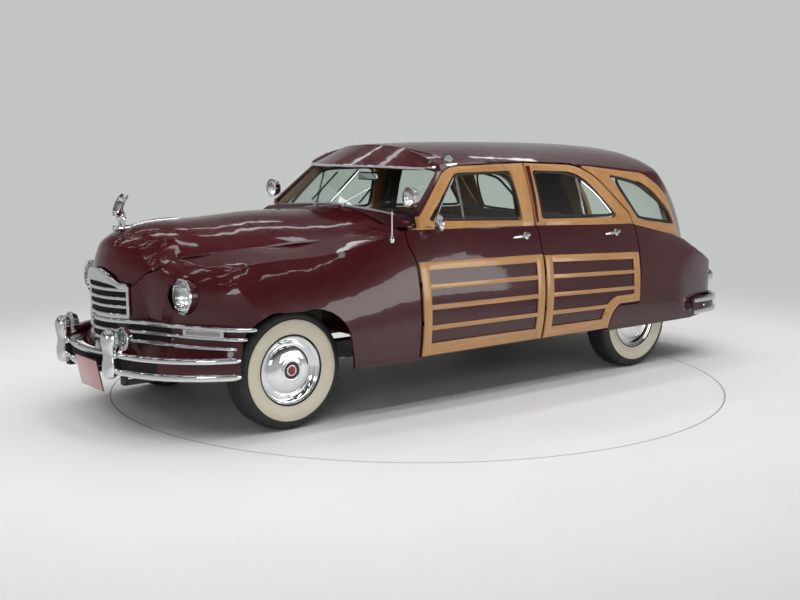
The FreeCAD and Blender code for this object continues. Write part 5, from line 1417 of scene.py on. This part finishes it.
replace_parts(keep(rearBars(), "rear_bars", "body", [chrome]), "rear_bumper")
keep(bar(wholeLine(rearLine(rearSizes["middle"], 0.006)), rounded(0.006, 0.075, 0.002)), "rear_insert",
     "body", [paint])
for hand in (1, -1):
    for station, side, turn in rearSizes["bolts"]:
        bolt = lathe([(0.0, 0.0), (0.0, 0.011), (0.004, 0.011), (0.008, 0.006), (0.009, 0.0)], 20)
        spot = (hand * side, frontAxle + station, rearSizes["middle"])
        keep(bolt, "rear_bolt_%d_%d" % (hand, round(station * 100)), "body", [chrome],
             move=placed(spot, (hand, turn, 0)))
tailSkin = bpy.data.objects["quarter_skin"]
skins["tail"] = BVHTree.FromObject(tailSkin, bpy.context.evaluated_depsgraph_get())
lensRed = makeLens("lensRed", (0.75, 0.02, 0.02), 0.15)
for hand, side in (("left", tailSizes["side"]), ("right", -tailSizes["side"])):
    spot, facing = onSkin("tail", (side, frontAxle + 5.5, tailSizes["height"]), (0, -1, 0))
    place = placed(spot + Vector((0, tailSizes["proud"], 0)),
                   Vector((facing.x * tailSizes["turn"], 1.0, 0.0)))
    cup = lathe([(-0.055, 0.0), (-0.055, 0.03), (-0.03, 0.044), (0.0, 0.05), (0.01, 0.051), (0.014, 0.047),
                 (0.014, 0.043), (0.006, 0.042), (0.006, 0.0)], 48)
    keep(cup, "tail_cup_" + hand, "body", [chrome], move=place)
    lens = lathe([(0.006, 0.0), (0.006, 0.0415), (0.016, 0.04), (0.026, 0.028), (0.031, 0.012),
                  (0.032, 0.0)], 48)
    keep(lens, "tail_lens_" + hand, "body", [lensRed], move=place)
gate = onSkin("tailgate_lower", (0.0, frontAxle + 5.5, 0.86), (0, -1, 0))[0]
grip = bar([gate + Vector((side, depth, 0))
            for side, depth in ((-0.085, 0.0), (-0.075, 0.03), (0, 0.034), (0.075, 0.03), (0.085, 0.0))],
           disc(0.009), ends=1.2)
keep(grip, "gate_handle", "lower_tailgate", [chrome])
print("rear made")


# cabin: padded seats, dials and mirror
seatSizes = {"puff": 0.03, "pull": 0.01, "flutes": 9, "groove": 0.008, "round": 0.55, "cuts": 27,
             "lean": 0.06, "cushion": 0.17, "back": 0.14, "base": 0.13, "sit": 0.3, "shorter": 0.08,
             "sunk": 0.105, "backTaller": 0.06, "backIn": 0.085, "backDrop": 0.04, "baseIn": (0.12, 0.2),
             "baseForward": 0.04, "baseMiddle": 0.065}
dialSizes = {"sides": (0.3, 0.46, 0.0), "at": (1.075, 1.075), "mirror": (1.2, 1.44)}
padFace = 0.98  # share of the half size where a pad's face or side begins


def pad(size, at, lean=0.0, face=2):
    # a crowned cushion: rounded edges, sewn channels on its face, sides drawn in between the corners
    shape = bmesh.new()
    bmesh.ops.create_cube(shape, size=2.0)
    bmesh.ops.subdivide_edges(shape, edges=shape.edges[:], cuts=seatSizes["cuts"], use_grid_fill=True)
    half = [value / 2 for value in size]
    radius = min(half) * seatSizes["round"]
    other = [axis for axis in (0, 1, 2) if axis != face]
    for vert in shape.verts:
        share = vert.co.copy()
        inner = Vector([max(-(half[k] - radius), min(half[k] - radius, share[k] * half[k]))
                        for k in range(3)])
        outer = Vector([share[k] * half[k] for k in range(3)])
        away = outer - inner
        spot = inner + (away.normalized() * radius if away.length > 1e-6 else away)
        rise = (1 - share[other[0]] ** 2) * (1 - share[other[1]] ** 2)
        spot[face] += math.copysign(seatSizes["puff"] * rise, share[face]) if share[face] > -0.99 else 0.0
        channel = math.cos(share[0] * math.pi * seatSizes["flutes"])
        if abs(share[face]) > padFace:
            spot[face] -= math.copysign(seatSizes["groove"] * max(0.0, -channel) ** 6, share[face])
        for axis in other:
            if abs(share[axis]) > padFace:
                third = [k for k in other if k != axis][0]
                spot[axis] -= math.copysign(seatSizes["pull"] * (1 - share[third] ** 2), share[axis])
        vert.co = spot
    bmesh.ops.rotate(shape, verts=shape.verts, cent=(0, 0, 0), matrix=Matrix.Rotation(lean, 3, "X"))
    bmesh.ops.translate(shape, vec=at, verts=shape.verts)
    return shape


for which in ("front", "rear"):
    low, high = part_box(which + "_seat")
    wide = high.x - low.x
    deep = high.y - low.y
    seatTop = low.z + seatSizes["sit"]
    run = deep - seatSizes["shorter"]
    shape = pad((wide, run, seatSizes["cushion"]), (0, low.y + run / 2, seatTop - seatSizes["sunk"]))
    cushion = keep(shape, which + "_seat_cushion", "body", [seatCloth], sharp=60)
    middle = (0, high.y - seatSizes["backIn"], (high.z + seatTop) / 2 - seatSizes["backDrop"])
    shape = pad((wide, seatSizes["back"], high.z - seatTop + seatSizes["backTaller"]), middle,
                seatSizes["lean"], 1)
    rest = keep(shape, which + "_seat_back", "body", [seatCloth], sharp=60)
    sideIn, endIn = seatSizes["baseIn"]
    middle = (0, low.y + deep / 2 - seatSizes["baseForward"], low.z + seatSizes["baseMiddle"])
    shape = block((wide - sideIn, deep - endIn, seatSizes["base"]), middle, 0.01)
    base = keep(shape, which + "_seat_base", "body", [chassisBlack])
    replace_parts(base, which + "_seat")
station, height = dialSizes["mirror"]
keep(block((0.21, 0.022, 0.055), (0.0, frontAxle + station, height), 0.009, 3), "cabin_mirror", "body",
     [chrome])
station, height = dialSizes["at"]
for side in dialSizes["sides"]:
    dial = lathe([(0.0, 0.0), (0.0, 0.052), (0.006, 0.056), (0.012, 0.052), (0.01, 0.046), (0.006, 0.0)], 40)
    keep(dial, "dial_%d" % round(side * 100), "body", [chrome],
         move=placed((side, frontAxle + station, height), (0, 1, 0)))
print("cabin made")


# pale studio: the floor runs into the backdrop, and rows of softboxes hang over the car
def makeFloor():
    shape = bmesh.new()
    bmesh.ops.create_circle(shape, cap_ends=True, segments=96, radius=studio["reach"])
    mesh = bpy.data.meshes.new("floor")
    shape.to_mesh(mesh)
    shape.free()
    floor = bpy.data.objects.new("floor", mesh)
    scene.collection.objects.link(floor)
    tone = studio["floor"]
    material, shader, place = finish("floorPale", tone, 0.55, {"Specular IOR Level": 0.2})
    across, along, up = place.axes()
    side = across - studio["ringAt"][0]
    depth = along - studio["ringAt"][1]
    far = (side * side + depth * depth).sum("SQRT")
    line = (far - studio["ring"]).sum("ABSOLUTE").smooth(*studio["ringWide"])
    pale = place.noise(0.9, 4.0).smooth(0.35, 0.75).mix((*tone, 1), shaded(tone, 0.975))
    place.feed(shader.inputs["Base Color"], line.mix((*studio["ringLine"], 1), pale))
    glow = place.glow(studio["backdrop"])
    lit = Wire(place.tree, shader.outputs[0])
    cove = far.smooth(*studio["cove"]).blend(lit, glow)
    dim = place.glow(studio["mirrorLow"])
    mirrored = far.smooth(*studio["mirrorCove"]).blend(lit, dim)
    cover(place, place.make("LightPath", out=3).blend(cove, mirrored))
    mesh.materials.append(material)


def makeWorld():
    world = bpy.data.worlds.new("studio")
    world.use_nodes = True
    scene.world = world
    tree = world.node_tree
    back = tree.nodes["Background"]
    high = Wire(tree).make("TexCoord", out=0).axes()[2]
    high.feed(back.inputs["Color"], high.smooth(*studio["fade"]).mix((*studio["horizon"], 1),
                                                                     (*studio["ceiling"], 1)))
    fading = high.smooth(*studio["mirrorFade"]).mix((*studio["mirrorLow"], 1), (*studio["mirrorHigh"], 1))
    mirrored = high.make("Background", {}, {"Color": fading})
    plain = high.glow(studio["backdrop"], "Background")
    light = high.make("LightPath", out=3).blend(Wire(tree, back.outputs[0]), mirrored)
    straight = high.make("LightPath", out=0) + high.make("LightPath", out=6)
    high.feed(tree.nodes["World Output"].inputs["Surface"], straight.blend(light, plain))


def areaLamp(name, place, size, power):
    lamp = bpy.data.lights.new(name, "AREA")
    lamp.shape = "RECTANGLE"
    lamp.size, lamp.size_y = size
    lamp.energy = power
    box = bpy.data.objects.new(name, lamp)
    box.location = place
    scene.collection.objects.link(box)
    return box


def makeLamps():
    # each softbox is two lamps: only the weaker dash shows in the paint and the chrome
    high, size = studio["lampHeight"], studio["lampSize"]
    for row in studio["lampRows"]:
        for side in studio["lampSides"]:
            soft = areaLamp("softbox", (side, row, high), size, studio["lampPower"] - studio["dashPower"])
            soft.visible_glossy = False
            areaLamp("dash", (side, row, high - studio["dashDrop"]), size, studio["dashPower"])
    for place, aim, size, power, spreads in studio["walls"]:
        box = areaLamp("wallWash", place, size, power)
        box.visible_diffuse = spreads
        box.rotation_euler = (Vector(aim) - Vector(place)).to_track_quat("-Z", "Y").to_euler()


makeFloor()
makeWorld()
makeLamps()
